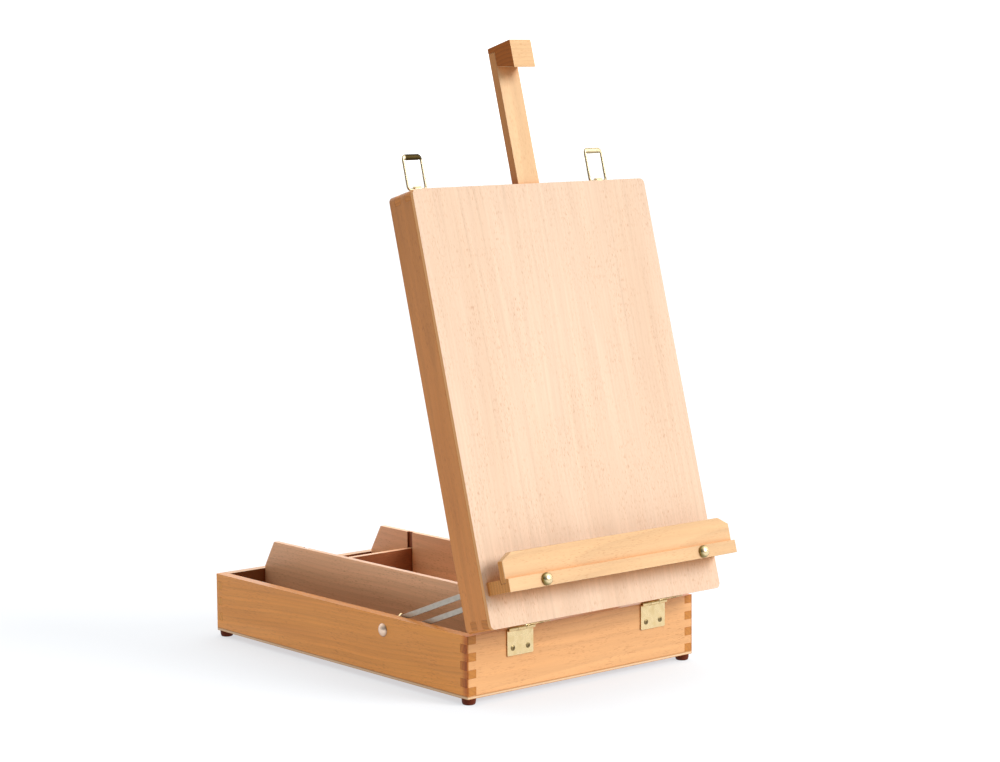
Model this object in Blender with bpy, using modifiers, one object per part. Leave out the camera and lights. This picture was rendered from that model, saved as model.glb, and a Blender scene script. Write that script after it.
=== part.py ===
"""A table-top box easel: a wooden paint box whose lid stands up as a canvas easel.

Units are metres and +Z is up. X runs to the artist's right, and the artist sits on the -Y
side. The origin is on the table, under the middle of the whole open easel. The lid hinges on
the box's front edge, so its outer face, the canvas board, faces the artist when it is raised.
"""

from math import atan2, cos, hypot, pi, radians, sin

import bmesh
import bpy
from mathutils import Euler, Matrix, Vector

# Clearances
GAP = 0.0003            # between neighbours that touch on the real object
SPILL = 0.001           # how far a cutter runs past what it cuts

# Box
BOX_WIDTH = 0.280
BOX_DEPTH = 0.400
BOX_FRONT = -0.1745     # world Y of the front wall, which puts the origin under the middle
WALL = 0.010            # thickness of the solid beech walls
PLY_BOTTOM = 0.003
RIM = 0.058             # rim level above the underside of the ply bottom
BOX_FINGERS = 7         # finger joints up each corner
FOOT_HEIGHT = 0.006
FOOT_RADIUS = 0.0066
FOOT_INSET = 0.0070

# Dividers that rise into the closed lid
DIVIDER = 0.006
DIVIDER_LEFT_X = -0.087     # left faces
DIVIDER_RIGHT_X = 0.049
DIVIDER_TOP = 0.0874
DIVIDER_SLANT_FOOT = 0.0606
DIVIDER_SLANT_RUN = 0.0165
CROSS_Y = 0.3205
CROSS_TOP = 0.0708
GROOVE = 0.002

# Lid
LID_OVERHANG = 0.002
LID_DEPTH = 0.400
LID_RAIL = 0.010
LID_RAIL_HEIGHT = 0.032
BOARD = 0.004
LID_FINGERS = 4
LID_CORNER = 0.005
LID_ANGLE = radians(74.7)   # how far the lid stands open
LID_HALF = BOX_WIDTH / 2 + LID_OVERHANG
LID_THICKNESS = LID_RAIL_HEIGHT + BOARD

# Butt hinges on the front faces
PIN_OUT = 0.0025            # the pin stands this far in front of the box
HINGE_XS = {"left": -0.0785, "right": 0.0870}
HINGE_WIDTH = 0.031
HINGE_LEAF = 0.025
HINGE_PLATE = 0.001
KNUCKLE_RADIUS = 0.0021
PIN_RADIUS = 0.0010
PIN_HOLE_RADIUS = 0.00115
SCREW_SPREAD = 0.0090
SCREW_Z = 0.040

# Slotted stays, one inside each side wall
BOLT_Y = 0.124
BOLT_Z = 0.0443
STAY_SLOPE = radians(21)    # its angle above the horizontal, shut or fully open
STAY_WIDTH = 0.017
STAY_PLATE = 0.002
STAY_OUT = 0.0008           # from the wall's inner face
SLOT_WIDTH = 0.007
SLOT_START = 0.016          # from the stud's centre
BOLT_RADIUS = 0.0025
STUD_RADIUS = 0.0045

# Canvas ledge, held on the board by two thumbscrews
LEDGE_LENGTH = 0.280
LEDGE_SHIFT = 0.002         # it sits a little right of the middle
LEDGE_LOW = 0.030
LEDGE_HIGH = 0.042
LEDGE_FRONT = 0.067         # from the lid's rim plane
LIP_TOP = 0.065
LIP_BACK = 0.0555
LIP = 0.007
LIP_SEAT = 0.004            # depth of the groove that holds the lip
LIP_CHAMFER = (0.012, 0.007)
THUMB_SPREAD = 0.097
THUMB_RADIUS = 0.00575
THUMB_HEAD = 0.005

# Mast and its head block
MAST_WIDTH = 0.026
MAST = 0.009
MAST_BOTTOM = 0.147
MAST_TOP = 0.527
HEAD_WIDTH = 0.0262
HEAD_TOP = 0.5323
HEAD_FRONT = 0.056
HEAD_FRONT_LOW = 0.5058
HEAD_BACK_LOW = 0.5130
GUIDE_LOW = 0.345
GUIDE_HIGH = 0.375
GUIDE_HALF = 0.025
GUIDE_WEB = 0.008
MAST_BACK = LID_RAIL_HEIGHT - MAST - 0.0002

# Latches: a bail on the lid, a hook lever on the back wall
LATCH_SPREAD = 0.111
LATCH_SHIFT = -0.0025       # both latches sit a little to the left
BAIL_W = 0.008              # pivot height above the rim plane
BAIL_OUT = 0.005            # pivot distance from the wood
BAIL_WIDTH = 0.023
BAIL_REACH = 0.033
BAIL_BAR = 0.0055
BAIL_WIRE = 0.0022
LEVER_Z = 0.044             # pivot height on the back wall
LEVER_OUT = 0.003
LEVER_LENGTH = 0.028

# Carrying handle on the back wall
HANDLE_HALF = 0.050
HANDLE_Z = 0.042
HANDLE_OUT = 0.0065
HANDLE_DROP = 0.030
HANDLE_RADIUS = 0.0042

ROUND = 24                  # facets on large round pieces
FINE = 16                   # facets on pins and holes


def empty_scene():
    """Removes every object that the scene starts with."""
    for obj in list(bpy.data.objects):
        bpy.data.objects.remove(obj, do_unlink=True)


def new_collection(name):
    found = bpy.data.collections.new(name)
    bpy.context.scene.collection.children.link(found)
    return found


def new_material(name, colour, roughness, metallic=0.0):
    material = bpy.data.materials.new(name)
    material.use_nodes = True
    shader = material.node_tree.nodes["Principled BSDF"]
    shader.inputs["Base Color"].default_value = (*colour, 1)
    shader.inputs["Roughness"].default_value = roughness
    shader.inputs["Metallic"].default_value = metallic
    return material


def new_empty(name, parent=None, location=(0, 0, 0), rotation=(0, 0, 0)):
    """A joint axis or a local frame. It isn't a part."""
    found = bpy.data.objects.new(name, None)
    found.empty_display_size = 0.02
    found.parent = parent
    found.location = location
    found.rotation_euler = rotation
    PARTS.objects.link(found)
    return found


def new_part(name, mesh, material, parent, location=(0, 0, 0), rotation=(0, 0, 0)):
    part = bpy.data.objects.new(name, mesh)
    part.data.materials.clear()
    part.data.materials.append(material)
    part.parent = parent
    part.location = location
    part.rotation_euler = rotation
    PARTS.objects.link(part)
    return part


def new_cutter(name, mesh, parent, location=(0, 0, 0), rotation=(0, 0, 0)):
    cutter = bpy.data.objects.new(name, mesh)
    cutter.parent = parent
    cutter.location = location
    cutter.rotation_euler = rotation
    cutter.display_type = "WIRE"
    cutter.hide_render = True
    CUTTERS.objects.link(cutter)
    return cutter


def cut(part, cutter, operation="DIFFERENCE"):
    boolean = part.modifiers.new(cutter.name, "BOOLEAN")
    boolean.operation = operation
    boolean.solver = "EXACT"
    boolean.object = cutter
    return part


def block_mesh(name, *boxes, corner=0.0, corner_axis=2):
    """One cube for each (low, high) pair. corner rounds the edges along one axis."""
    mesh = bpy.data.meshes.new(name)
    bm = bmesh.new()
    for low, high in boxes:
        low = Vector(low)
        high = Vector(high)
        made = bmesh.ops.create_cube(bm, size=1.0)["verts"]
        for vert in made:
            vert.co = Vector([a + (c + 0.5) * (b - a) for a, b, c in zip(low, high, vert.co)])
    if corner:
        edges = [e for e in bm.edges if abs((e.verts[1].co - e.verts[0].co).normalized()[corner_axis]) > 0.9]
        bmesh.ops.bevel(bm, geom=edges, offset=corner, segments=6, profile=0.5, affect="EDGES")
    bm.to_mesh(mesh)
    bm.free()
    return mesh


def rod_mesh(name, radius, start, end, facets=FINE, end_radius=None):
    """A cylinder or cone from start to end."""
    start = Vector(start)
    end = Vector(end)
    run = end - start
    turn = run.to_track_quat("Z", "Y").to_matrix().to_4x4()
    mesh = bpy.data.meshes.new(name)
    bm = bmesh.new()
    bmesh.ops.create_cone(
        bm,
        cap_ends=True,
        segments=facets,
        radius1=radius,
        radius2=radius if end_radius is None else end_radius,
        depth=run.length,
        matrix=Matrix.Translation((start + end) / 2) @ turn,
    )
    bm.to_mesh(mesh)
    bm.free()
    return mesh


def outline_mesh(name, loops, thickness):
    """A flat shape in the XY plane: the first loop is its edge, the others are its holes."""
    curve = bpy.data.curves.new(name, "CURVE")
    curve.dimensions = "2D"
    curve.fill_mode = "BOTH"
    curve.extrude = thickness / 2
    for loop in loops:
        spline = curve.splines.new("POLY")
        spline.points.add(len(loop) - 1)
        spline.use_cyclic_u = True
        for point, (x, y) in zip(spline.points, loop):
            point.co = (x, y, 0, 1)
    drawn = bpy.data.objects.new(name, curve)
    bpy.context.scene.collection.objects.link(drawn)
    seen = drawn.evaluated_get(bpy.context.evaluated_depsgraph_get())
    mesh = bpy.data.meshes.new_from_object(seen)
    mesh.name = name
    bpy.data.objects.remove(drawn, do_unlink=True)
    bm = bmesh.new()
    bm.from_mesh(mesh)
    bmesh.ops.remove_doubles(bm, verts=bm.verts, dist=0.00001)
    bmesh.ops.recalc_face_normals(bm, faces=bm.faces)
    bm.to_mesh(mesh)
    bm.free()
    return mesh


def turned(name, profile, material, parent, location, rotation, facets=ROUND):
    """A profile of (radius, height) points, from the top down the outside, turned about Z."""
    mesh = bpy.data.meshes.new(name)
    points = [(radius, 0, height) for radius, height in profile]
    mesh.from_pydata(points, [(i, i + 1) for i in range(len(points) - 1)], [])
    part = new_part(name, mesh, material, parent, location, rotation)
    screw = part.modifiers.new("turn", "SCREW")
    screw.axis = "Z"
    screw.steps = facets
    screw.render_steps = facets
    screw.use_merge_vertices = True
    screw.merge_threshold = 0.00001
    screw.use_smooth_shade = True
    return part


def arc(centre, radius, start, end, steps):
    """Points along an arc, both ends included. Angles are in degrees."""
    angles = [radians(start + (end - start) * i / steps) for i in range(steps + 1)]
    return [(centre[0] + radius * cos(a), centre[1] + radius * sin(a)) for a in angles]


def stadium(x_start, x_end, radius, steps=8):
    """A long round-ended outline between two end centres on the X axis."""
    return arc((x_end, 0), radius, -90, 90, steps) + arc((x_start, 0), radius, 90, 270, steps)


def dome(radius, height, base, steps=5):
    """Profile points of a shallow dome, from its crown down to its rim."""
    ball = (radius * radius + height * height) / (2 * height)
    widest = atan2(radius, ball - height)
    angles = [widest * i / steps for i in range(steps + 1)]
    return [(ball * sin(a), base + height - ball + ball * cos(a)) for a in angles]


def finger_notches(low, high, count, first):
    """The height ranges left out of one of two walls that are finger jointed."""
    pitch = (high - low) / count
    ranges = []
    for index in range(first, count, 2):
        bottom = low + index * pitch - (SPILL if index == 0 else -GAP / 2) - (GAP if index else 0)
        top = low + (index + 1) * pitch + (SPILL if index == count - 1 else GAP / 2)
        ranges.append((bottom, top))
    return ranges


def in_box(v, w, angle):
    """Where a lid point stands in the box's Y and Z when the lid is open by the angle."""
    y = -PIN_OUT + (v + PIN_OUT) * cos(angle) - w * sin(angle)
    z = RIM + (v + PIN_OUT) * sin(angle) + w * cos(angle)
    return y, z


def stay_stud():
    """The lid point (v, w) whose stay lies on the same line with the lid shut and open.

    The bar's line passes the bolt at STAY_SLOPE. Both ends of the stud's arc lie on that line,
    so the stud's radius is the line's distance from the hinge pin over the cosine of half the
    lid's travel.
    """
    across = (BOLT_Y + PIN_OUT) * sin(STAY_SLOPE) - (RIM - BOLT_Z) * cos(STAY_SLOPE)
    radius = across / cos(LID_ANGLE / 2)
    turn = pi / 2 - STAY_SLOPE - LID_ANGLE / 2
    return radius * cos(turn) - PIN_OUT, radius * sin(turn)


def box_walls():
    """Four finger jointed walls. The side walls show end grain at every odd finger."""
    low = PLY_BOTTOM + GAP
    high = RIM - GAP / 2
    half = BOX_WIDTH / 2
    for side, sign in SIDES.items():
        xs = sorted((sign * half, sign * (half - WALL)))
        name = f"box_wall_{side}"
        wall = new_part(
            name,
            block_mesh(name, ((xs[0], 0, low), (xs[1], BOX_DEPTH, high))),
            BEECH,
            BOX,
        )
        notches = []
        for bottom, top in finger_notches(low, high, BOX_FINGERS, 1):
            for y_low, y_high in (
                (-SPILL, WALL + GAP),
                (BOX_DEPTH - WALL - GAP, BOX_DEPTH + SPILL),
            ):
                notches.append(((xs[0] - SPILL, y_low, bottom), (xs[1] + SPILL, y_high, top)))
        cut(wall, new_cutter(f"{name}_notches", block_mesh("notches", *notches), BOX))
        bore = rod_mesh(
            "bolt_bore",
            BOLT_RADIUS + GAP,
            (xs[0] - SPILL, BOLT_Y, BOLT_Z),
            (xs[1] + SPILL, BOLT_Y, BOLT_Z),
        )
        cut(wall, new_cutter(f"{name}_bolt_bore", bore, BOX))
    for end, y_low in (("front", 0), ("back", BOX_DEPTH - WALL)):
        name = f"box_wall_{end}"
        wall = new_part(
            name,
            block_mesh(name, ((-half, y_low, low), (half, y_low + WALL, high))),
            BEECH,
            BOX,
        )
        notches = []
        for bottom, top in finger_notches(low, high, BOX_FINGERS, 0):
            for x_low, x_high in ((-half - SPILL, -half + WALL + GAP), (half - WALL - GAP, half + SPILL)):
                notches.append(((x_low, y_low - SPILL, bottom), (x_high, y_low + WALL + SPILL, top)))
        cut(wall, new_cutter(f"{name}_notches", block_mesh("notches", *notches), BOX))


def box_bottom_and_feet():
    half = BOX_WIDTH / 2
    panel = block_mesh("bottom_panel", ((-half, 0, 0), (half, BOX_DEPTH, PLY_BOTTOM)))
    new_part("bottom_panel", panel, PLY, BOX)
    profile = [(0, -GAP), (FOOT_RADIUS, -GAP), (FOOT_RADIUS, -0.0014)]
    profile += [(0.0060, -FOOT_HEIGHT + 0.0006), (0.0054, -FOOT_HEIGHT), (0, -FOOT_HEIGHT)]
    for end, y in (("front", FOOT_INSET), ("back", BOX_DEPTH - FOOT_INSET)):
        for side, sign in SIDES.items():
            place = (sign * (half - FOOT_INSET), y, 0)
            turned(f"foot_{end}_{side}", profile, RUBBER, BOX, place, (0, 0, 0))


def dividers():
    """Two tall dividers with slanted ends, and a lower cross divider in their grooves."""
    near = WALL + GAP
    far = BOX_DEPTH - WALL - GAP
    low = PLY_BOTTOM + GAP
    loop = [
        (near, low),
        (far, low),
        (far, DIVIDER_SLANT_FOOT),
        (far - DIVIDER_SLANT_RUN, DIVIDER_TOP),
        (near + DIVIDER_SLANT_RUN, DIVIDER_TOP),
        (near, DIVIDER_SLANT_FOOT),
    ]
    faces = {"left": DIVIDER_LEFT_X, "right": DIVIDER_RIGHT_X}
    for side, x in faces.items():
        name = f"divider_{side}"
        mesh = outline_mesh(name, [loop], DIVIDER)
        divider = new_part(name, mesh, BEECH_INSIDE, BOX, (x + DIVIDER / 2, 0, 0), ON_EDGE)
        inner = x + DIVIDER if side == "left" else x
        groove = (
            (inner - GROOVE - GAP, CROSS_Y - GAP, low + SPILL),
            (inner + GROOVE + GAP, CROSS_Y + DIVIDER + GAP, DIVIDER_TOP + SPILL),
        )
        cut(divider, new_cutter(f"{name}_groove", block_mesh("groove", groove), BOX))
    cross = (
        (DIVIDER_LEFT_X + DIVIDER - GROOVE, CROSS_Y, low + SPILL + GAP),
        (DIVIDER_RIGHT_X + GROOVE, CROSS_Y + DIVIDER, CROSS_TOP),
    )
    new_part("cross_divider", block_mesh("cross_divider", cross), BEECH_INSIDE, BOX)


def lid_frame_and_board():
    """Four finger jointed rails and the ply board, all trimmed to one rounded outline."""
    low = GAP / 2
    high = LID_RAIL_HEIGHT
    outline = block_mesh(
        "lid_outline",
        ((-LID_HALF, 0, -SPILL), (LID_HALF, LID_DEPTH, high + SPILL)),
        corner=LID_CORNER,
    )
    rounding = new_cutter("lid_outline", outline, LID)
    for side, sign in SIDES.items():
        xs = sorted((sign * (LID_HALF + SPILL), sign * (LID_HALF - LID_RAIL)))
        name = f"lid_rail_{side}"
        rail = block_mesh(name, ((xs[0], -SPILL, low), (xs[1], LID_DEPTH + SPILL, high)))
        rail = new_part(name, rail, BEECH_LID, LID)
        notches = []
        for bottom, top in finger_notches(low, high, LID_FINGERS, 1):
            for v_low, v_high in (
                (-2 * SPILL, LID_RAIL + GAP),
                (LID_DEPTH - LID_RAIL - GAP, LID_DEPTH + 2 * SPILL),
            ):
                notches.append(((xs[0] - SPILL, v_low, bottom), (xs[1] + SPILL, v_high, top)))
        cut(rail, new_cutter(f"{name}_notches", block_mesh("notches", *notches), LID))
        cut(rail, rounding, "INTERSECT")
    for end, v_low in (("front", -SPILL), ("back", LID_DEPTH - LID_RAIL)):
        v_high = v_low + LID_RAIL + SPILL
        name = f"lid_rail_{end}"
        wide = LID_HALF + SPILL
        rail = block_mesh(name, ((-wide, v_low, low), (wide, v_high, high)))
        rail = new_part(name, rail, BEECH_LID, LID)
        inner = LID_HALF - LID_RAIL - GAP
        notches = []
        for bottom, top in finger_notches(low, high, LID_FINGERS, 0):
            for x_low, x_high in ((-wide - SPILL, -inner), (inner, wide + SPILL)):
                notches.append(((x_low, v_low - SPILL, bottom), (x_high, v_high + SPILL, top)))
        if end == "back":
            hole = MAST_WIDTH / 2 + GAP
            notches.append(((-hole, v_low - SPILL, MAST_BACK - GAP), (hole, v_high + SPILL, high + SPILL)))
        cut(rail, new_cutter(f"{name}_notches", block_mesh("notches", *notches), LID))
        cut(rail, rounding, "INTERSECT")
    board = block_mesh(
        "canvas_board",
        ((-LID_HALF, 0, high + GAP), (LID_HALF, LID_DEPTH, LID_THICKNESS)),
        corner=LID_CORNER,
    )
    board = new_part("canvas_board", board, BOARD_FACE, LID)
    for side, sign in SIDES.items():
        x = LEDGE_SHIFT + sign * THUMB_SPREAD
        v = (LEDGE_LOW + LEDGE_HIGH) / 2
        bore = rod_mesh("nut_bore", 0.0040, (x, v, high - SPILL), (x, v, LID_THICKNESS + SPILL))
        cut(board, new_cutter(f"board_bore_{side}", bore, LID))


def hinge(side, x):
    """A face-fixed butt hinge: the box leaf has the outer knuckles, the lid leaf the middle one."""
    half = HINGE_WIDTH / 2
    third = HINGE_WIDTH / 6
    plate_low = -GAP - HINGE_PLATE
    clear = KNUCKLE_RADIUS + 2 * GAP
    name = f"hinge_box_leaf_{side}"
    plate = ((x - half, plate_low, RIM - HINGE_LEAF), (x + half, -GAP, RIM))
    leaf = new_part(name, block_mesh(name, plate), BRASS, BOX)
    notch = ((x - third - GAP, plate_low - SPILL, RIM - clear), (x + third + GAP, SPILL, RIM + SPILL))
    cut(leaf, new_cutter(f"{name}_notch", block_mesh("notch", notch), BOX))
    for tag, start, end in (("a", -half, -third - GAP), ("b", third + GAP, half)):
        barrel = rod_mesh("knuckle", KNUCKLE_RADIUS, (x + start, -PIN_OUT, RIM), (x + end, -PIN_OUT, RIM))
        cut(leaf, new_cutter(f"{name}_knuckle_{tag}", barrel, BOX), "UNION")
    bore = rod_mesh(
        "pin_bore",
        PIN_HOLE_RADIUS,
        (x - half - SPILL, -PIN_OUT, RIM),
        (x + half + SPILL, -PIN_OUT, RIM),
    )
    cut(leaf, new_cutter(f"{name}_bore", bore, BOX))
    for tag, offset in (("a", -SCREW_SPREAD), ("b", SCREW_SPREAD)):
        hole = rod_mesh("screw_hole", 0.0016, (x + offset, -0.004, SCREW_Z), (x + offset, 0, SCREW_Z))
        cut(leaf, new_cutter(f"{name}_hole_{tag}", hole, BOX))
        profile = dome(0.0027, 0.0007, 0.0003) + [(0.0027, 0), (0.0012, 0), (0.0012, -0.0013), (0, -0.0013)]
        place = (x + offset, plate_low - GAP, SCREW_Z)
        turned(f"hinge_screw_{side}_{tag}", profile, BRASS, BOX, place, (pi / 2, 0, 0), FINE)

    name = f"hinge_lid_leaf_{side}"
    plate = ((x - half, plate_low, 0), (x + half, -GAP, HINGE_LEAF))
    leaf = new_part(name, block_mesh(name, plate), BRASS, LID)
    corners = [
        ((x - half - SPILL, plate_low - SPILL, -SPILL), (x - third + GAP, SPILL, clear)),
        ((x + third - GAP, plate_low - SPILL, -SPILL), (x + half + SPILL, SPILL, clear)),
    ]
    cut(leaf, new_cutter(f"{name}_notch", block_mesh("notch", *corners), LID))
    barrel = rod_mesh(
        "knuckle",
        KNUCKLE_RADIUS,
        (x - third + GAP, -PIN_OUT, 0),
        (x + third - GAP, -PIN_OUT, 0),
    )
    cut(leaf, new_cutter(f"{name}_knuckle", barrel, LID), "UNION")
    bore = rod_mesh("pin_bore", PIN_HOLE_RADIUS, (x - half, -PIN_OUT, 0), (x + half, -PIN_OUT, 0))
    cut(leaf, new_cutter(f"{name}_bore", bore, LID))

    name = f"hinge_pin_{side}"
    pin = rod_mesh(name, PIN_RADIUS, (x - half, -PIN_OUT, RIM), (x + half, -PIN_OUT, RIM))
    new_part(name, pin, BRASS, BOX)


def stay_set(side, sign):
    """Bolt, wing nut, slotted stay, its rivet and the stud on the lid, on one side."""
    wall_in = sign * (BOX_WIDTH / 2 - WALL)
    near = STAY_OUT
    far = STAY_OUT + STAY_PLATE
    inward = -sign
    turn = (0, pi / 2 * sign, 0)    # local +Z points out of the box

    head = dome(0.0065, 0.0030, GAP) + [(BOLT_RADIUS, GAP), (BOLT_RADIUS, -0.0265), (0, -0.0265)]
    place = (sign * BOX_WIDTH / 2, BOLT_Y, BOLT_Z)
    turned(f"stay_bolt_{side}", head, BRASS, BOX, place, turn)

    stud_v, stud_w = stay_stud()
    y_open, z_open = in_box(stud_v, stud_w, LID_ANGLE)
    reach = hypot(y_open - BOLT_Y, z_open - BOLT_Z)
    axis = new_empty(f"stay_axis_{side}", BOX, (0, y_open, z_open), (-STAY_SLOPE, 0, 0))
    end = reach + 0.0010
    loops = [
        stadium(0, end + 0.0040, STAY_WIDTH / 2, 10),
        stadium(SLOT_START + SLOT_WIDTH / 2, end, SLOT_WIDTH / 2),
        arc((0, 0), STUD_RADIUS - 0.0019, 0, 360 - 360 / FINE, FINE - 1),
    ]
    bar = outline_mesh(f"stay_{side}", loops, STAY_PLATE)
    middle = wall_in + inward * (near + STAY_PLATE / 2)
    new_part(f"stay_{side}", bar, ALUMINIUM, axis, (middle, 0, 0), ON_EDGE)

    rivet = dome(0.0048, 0.0014, 0.0001) + [(0.0023, 0.0001), (0.0023, -STAY_PLATE), (0, -STAY_PLATE)]
    place = (wall_in + inward * far, 0, 0)
    turned(f"stay_rivet_{side}", rivet, BRASS, axis, place, (0, -pi / 2 * sign, 0), FINE)

    rail_in = sign * (LID_HALF - LID_RAIL)
    spacer = rod_mesh(
        f"stay_stud_{side}",
        STUD_RADIUS,
        (rail_in + inward * GAP, stud_v, stud_w),
        (wall_in + inward * (near - GAP), stud_v, stud_w),
        ROUND,
    )
    new_part(f"stay_stud_{side}", spacer, BRASS, LID)

    wing_nut(side, (wall_in + inward * (far + 2 * GAP), BOLT_Y, BOLT_Z), turn_in(sign))


def turn_in(sign):
    """Rotation that points local +Z from a side wall into the box."""
    return (0, -pi / 2 * sign, 0)


def wing_nut(side, place, rotation):
    """A round hub with two ears, turning on the bolt. Local Z is the bolt's axis."""
    axis = new_empty(f"wing_nut_axis_{side}", BOX, place, rotation)
    name = f"wing_nut_{side}"
    hub = rod_mesh(name, 0.0052, (0, 0, 0), (0, 0, 0.0085), ROUND, 0.0040)
    nut = new_part(name, hub, BRASS, axis)
    right = arc((0.0092, 0.0095), 0.0034, -60, 130, 8)
    left = [(-x, y) for x, y in reversed(right)]
    loop = [(0.0035, 0.0010)] + right + [(0.0030, 0.0070), (-0.0030, 0.0070)] + left + [(-0.0035, 0.0010)]
    wings = new_cutter(
        f"{name}_wings",
        outline_mesh("wings", [loop], 0.0024),
        axis,
        (0, 0, 0),
        (pi / 2, 0, 0),
    )
    cut(nut, wings, "UNION")
    bore = rod_mesh("nut_bore", BOLT_RADIUS + 0.00015, (0, 0, -SPILL), (0, 0, 0.0100))
    cut(nut, new_cutter(f"{name}_bore", bore, axis))


def ledge():
    """The shelf bar, the lip in its groove, two thumbscrews and their nuts behind the board."""
    low_x = LEDGE_SHIFT - LEDGE_LENGTH / 2
    high_x = LEDGE_SHIFT + LEDGE_LENGTH / 2
    back = LID_THICKNESS + GAP
    shelf = ((low_x, LEDGE_LOW, back), (high_x, LEDGE_HIGH, LEDGE_FRONT))
    shelf = new_part("ledge_shelf", block_mesh("ledge_shelf", shelf), BEECH_LEDGE, LID)
    groove = (
        (low_x - SPILL, LEDGE_HIGH - LIP_SEAT, LIP_BACK - GAP),
        (high_x + SPILL, LEDGE_HIGH + SPILL, LIP_BACK + LIP + GAP),
    )
    cut(shelf, new_cutter("ledge_groove", block_mesh("groove", groove), LID))
    run, rise = LIP_CHAMFER
    foot = LEDGE_HIGH - LIP_SEAT + GAP
    loop = [
        (low_x, foot),
        (high_x, foot),
        (high_x, LIP_TOP - rise),
        (high_x - run, LIP_TOP),
        (low_x + run, LIP_TOP),
        (low_x, LIP_TOP - rise),
    ]
    lip = outline_mesh("ledge_lip", [loop], LIP)
    new_part("ledge_lip", lip, BEECH_LEDGE, LID, (0, 0, LIP_BACK + LIP / 2))
    v = (LEDGE_LOW + LEDGE_HIGH) / 2
    shank = 0.0023
    for side, sign in SIDES.items():
        x = LEDGE_SHIFT + sign * THUMB_SPREAD
        bore = rod_mesh("thumb_bore", shank + GAP, (x, v, back - SPILL), (x, v, LEDGE_FRONT + SPILL))
        cut(shelf, new_cutter(f"ledge_bore_{side}", bore, LID))
        length = LEDGE_FRONT - LID_RAIL_HEIGHT
        profile = dome(THUMB_RADIUS, 0.0028, THUMB_HEAD - 0.0028) + [(THUMB_RADIUS, GAP), (shank, GAP)]
        profile += [(shank, -length), (0, -length)]
        turned(f"ledge_thumbscrew_{side}", profile, BRASS, LID, (x, v, LEDGE_FRONT), (0, 0, 0))
        name = f"ledge_nut_{side}"
        flange = rod_mesh(name, 0.0080, (x, v, LID_RAIL_HEIGHT - SPILL), (x, v, LID_RAIL_HEIGHT), ROUND)
        nut = new_part(name, flange, STEEL, LID)
        barrel = rod_mesh("nut_barrel", 0.0037, (x, v, LID_RAIL_HEIGHT - SPILL / 2), (x, v, 0.0350))
        cut(nut, new_cutter(f"{name}_barrel", barrel, LID), "UNION")
        hole = rod_mesh("nut_hole", shank + 0.00015, (x, v, 0.0300), (x, v, 0.0360))
        cut(nut, new_cutter(f"{name}_hole", hole, LID))


def mast():
    """The sliding mast, its head block, the bridge that guides it and the clamp knob."""
    half = MAST_WIDTH / 2
    front = MAST_BACK + MAST
    low = (-half, MAST_BOTTOM, MAST_BACK)
    high = (half, MAST_TOP - GAP, front)
    new_part("mast", block_mesh("mast", (low, high)), BEECH_LEDGE, LID)
    seat = front + GAP
    loop = [
        (MAST_TOP, MAST_BACK),
        (HEAD_TOP, MAST_BACK),
        (HEAD_TOP, HEAD_FRONT),
        (HEAD_FRONT_LOW, HEAD_FRONT),
        (HEAD_BACK_LOW, seat),
        (MAST_TOP, seat),
    ]
    head = outline_mesh("mast_head", [loop], HEAD_WIDTH)
    new_part("mast_head", head, BEECH_LEDGE, LID, (0, 0, 0), ON_EDGE)

    web_low = MAST_BACK - GAP - GUIDE_WEB
    bridge = ((-GUIDE_HALF, GUIDE_LOW, web_low), (GUIDE_HALF, GUIDE_HIGH, LID_RAIL_HEIGHT))
    guide = new_part("mast_guide", block_mesh("mast_guide", bridge), BEECH_INSIDE, LID)
    channel = (
        (-half - GAP, GUIDE_LOW - SPILL, MAST_BACK - GAP),
        (half + GAP, GUIDE_HIGH + SPILL, LID_RAIL_HEIGHT + SPILL),
    )
    cut(guide, new_cutter("mast_guide_channel", block_mesh("channel", channel), LID))
    v = (GUIDE_LOW + GUIDE_HIGH) / 2
    shank = 0.0025
    bore = rod_mesh("clamp_bore", shank + GAP, (0, v, web_low - SPILL), (0, v, MAST_BACK))
    cut(guide, new_cutter("mast_guide_bore", bore, LID))
    tip = GUIDE_WEB + 0.0005 - 0.0002
    profile = [(0, 0.0085), (0.0080, 0.0085), (0.0090, 0.0075), (0.0090, 0.0010), (0.0080, 0)]
    profile += [(shank, 0), (shank, -tip), (0, -tip)]
    place = (0, v, web_low - 0.0005)
    turned("mast_clamp_knob", profile, BRASS, LID, place, (pi, 0, 0))


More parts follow.
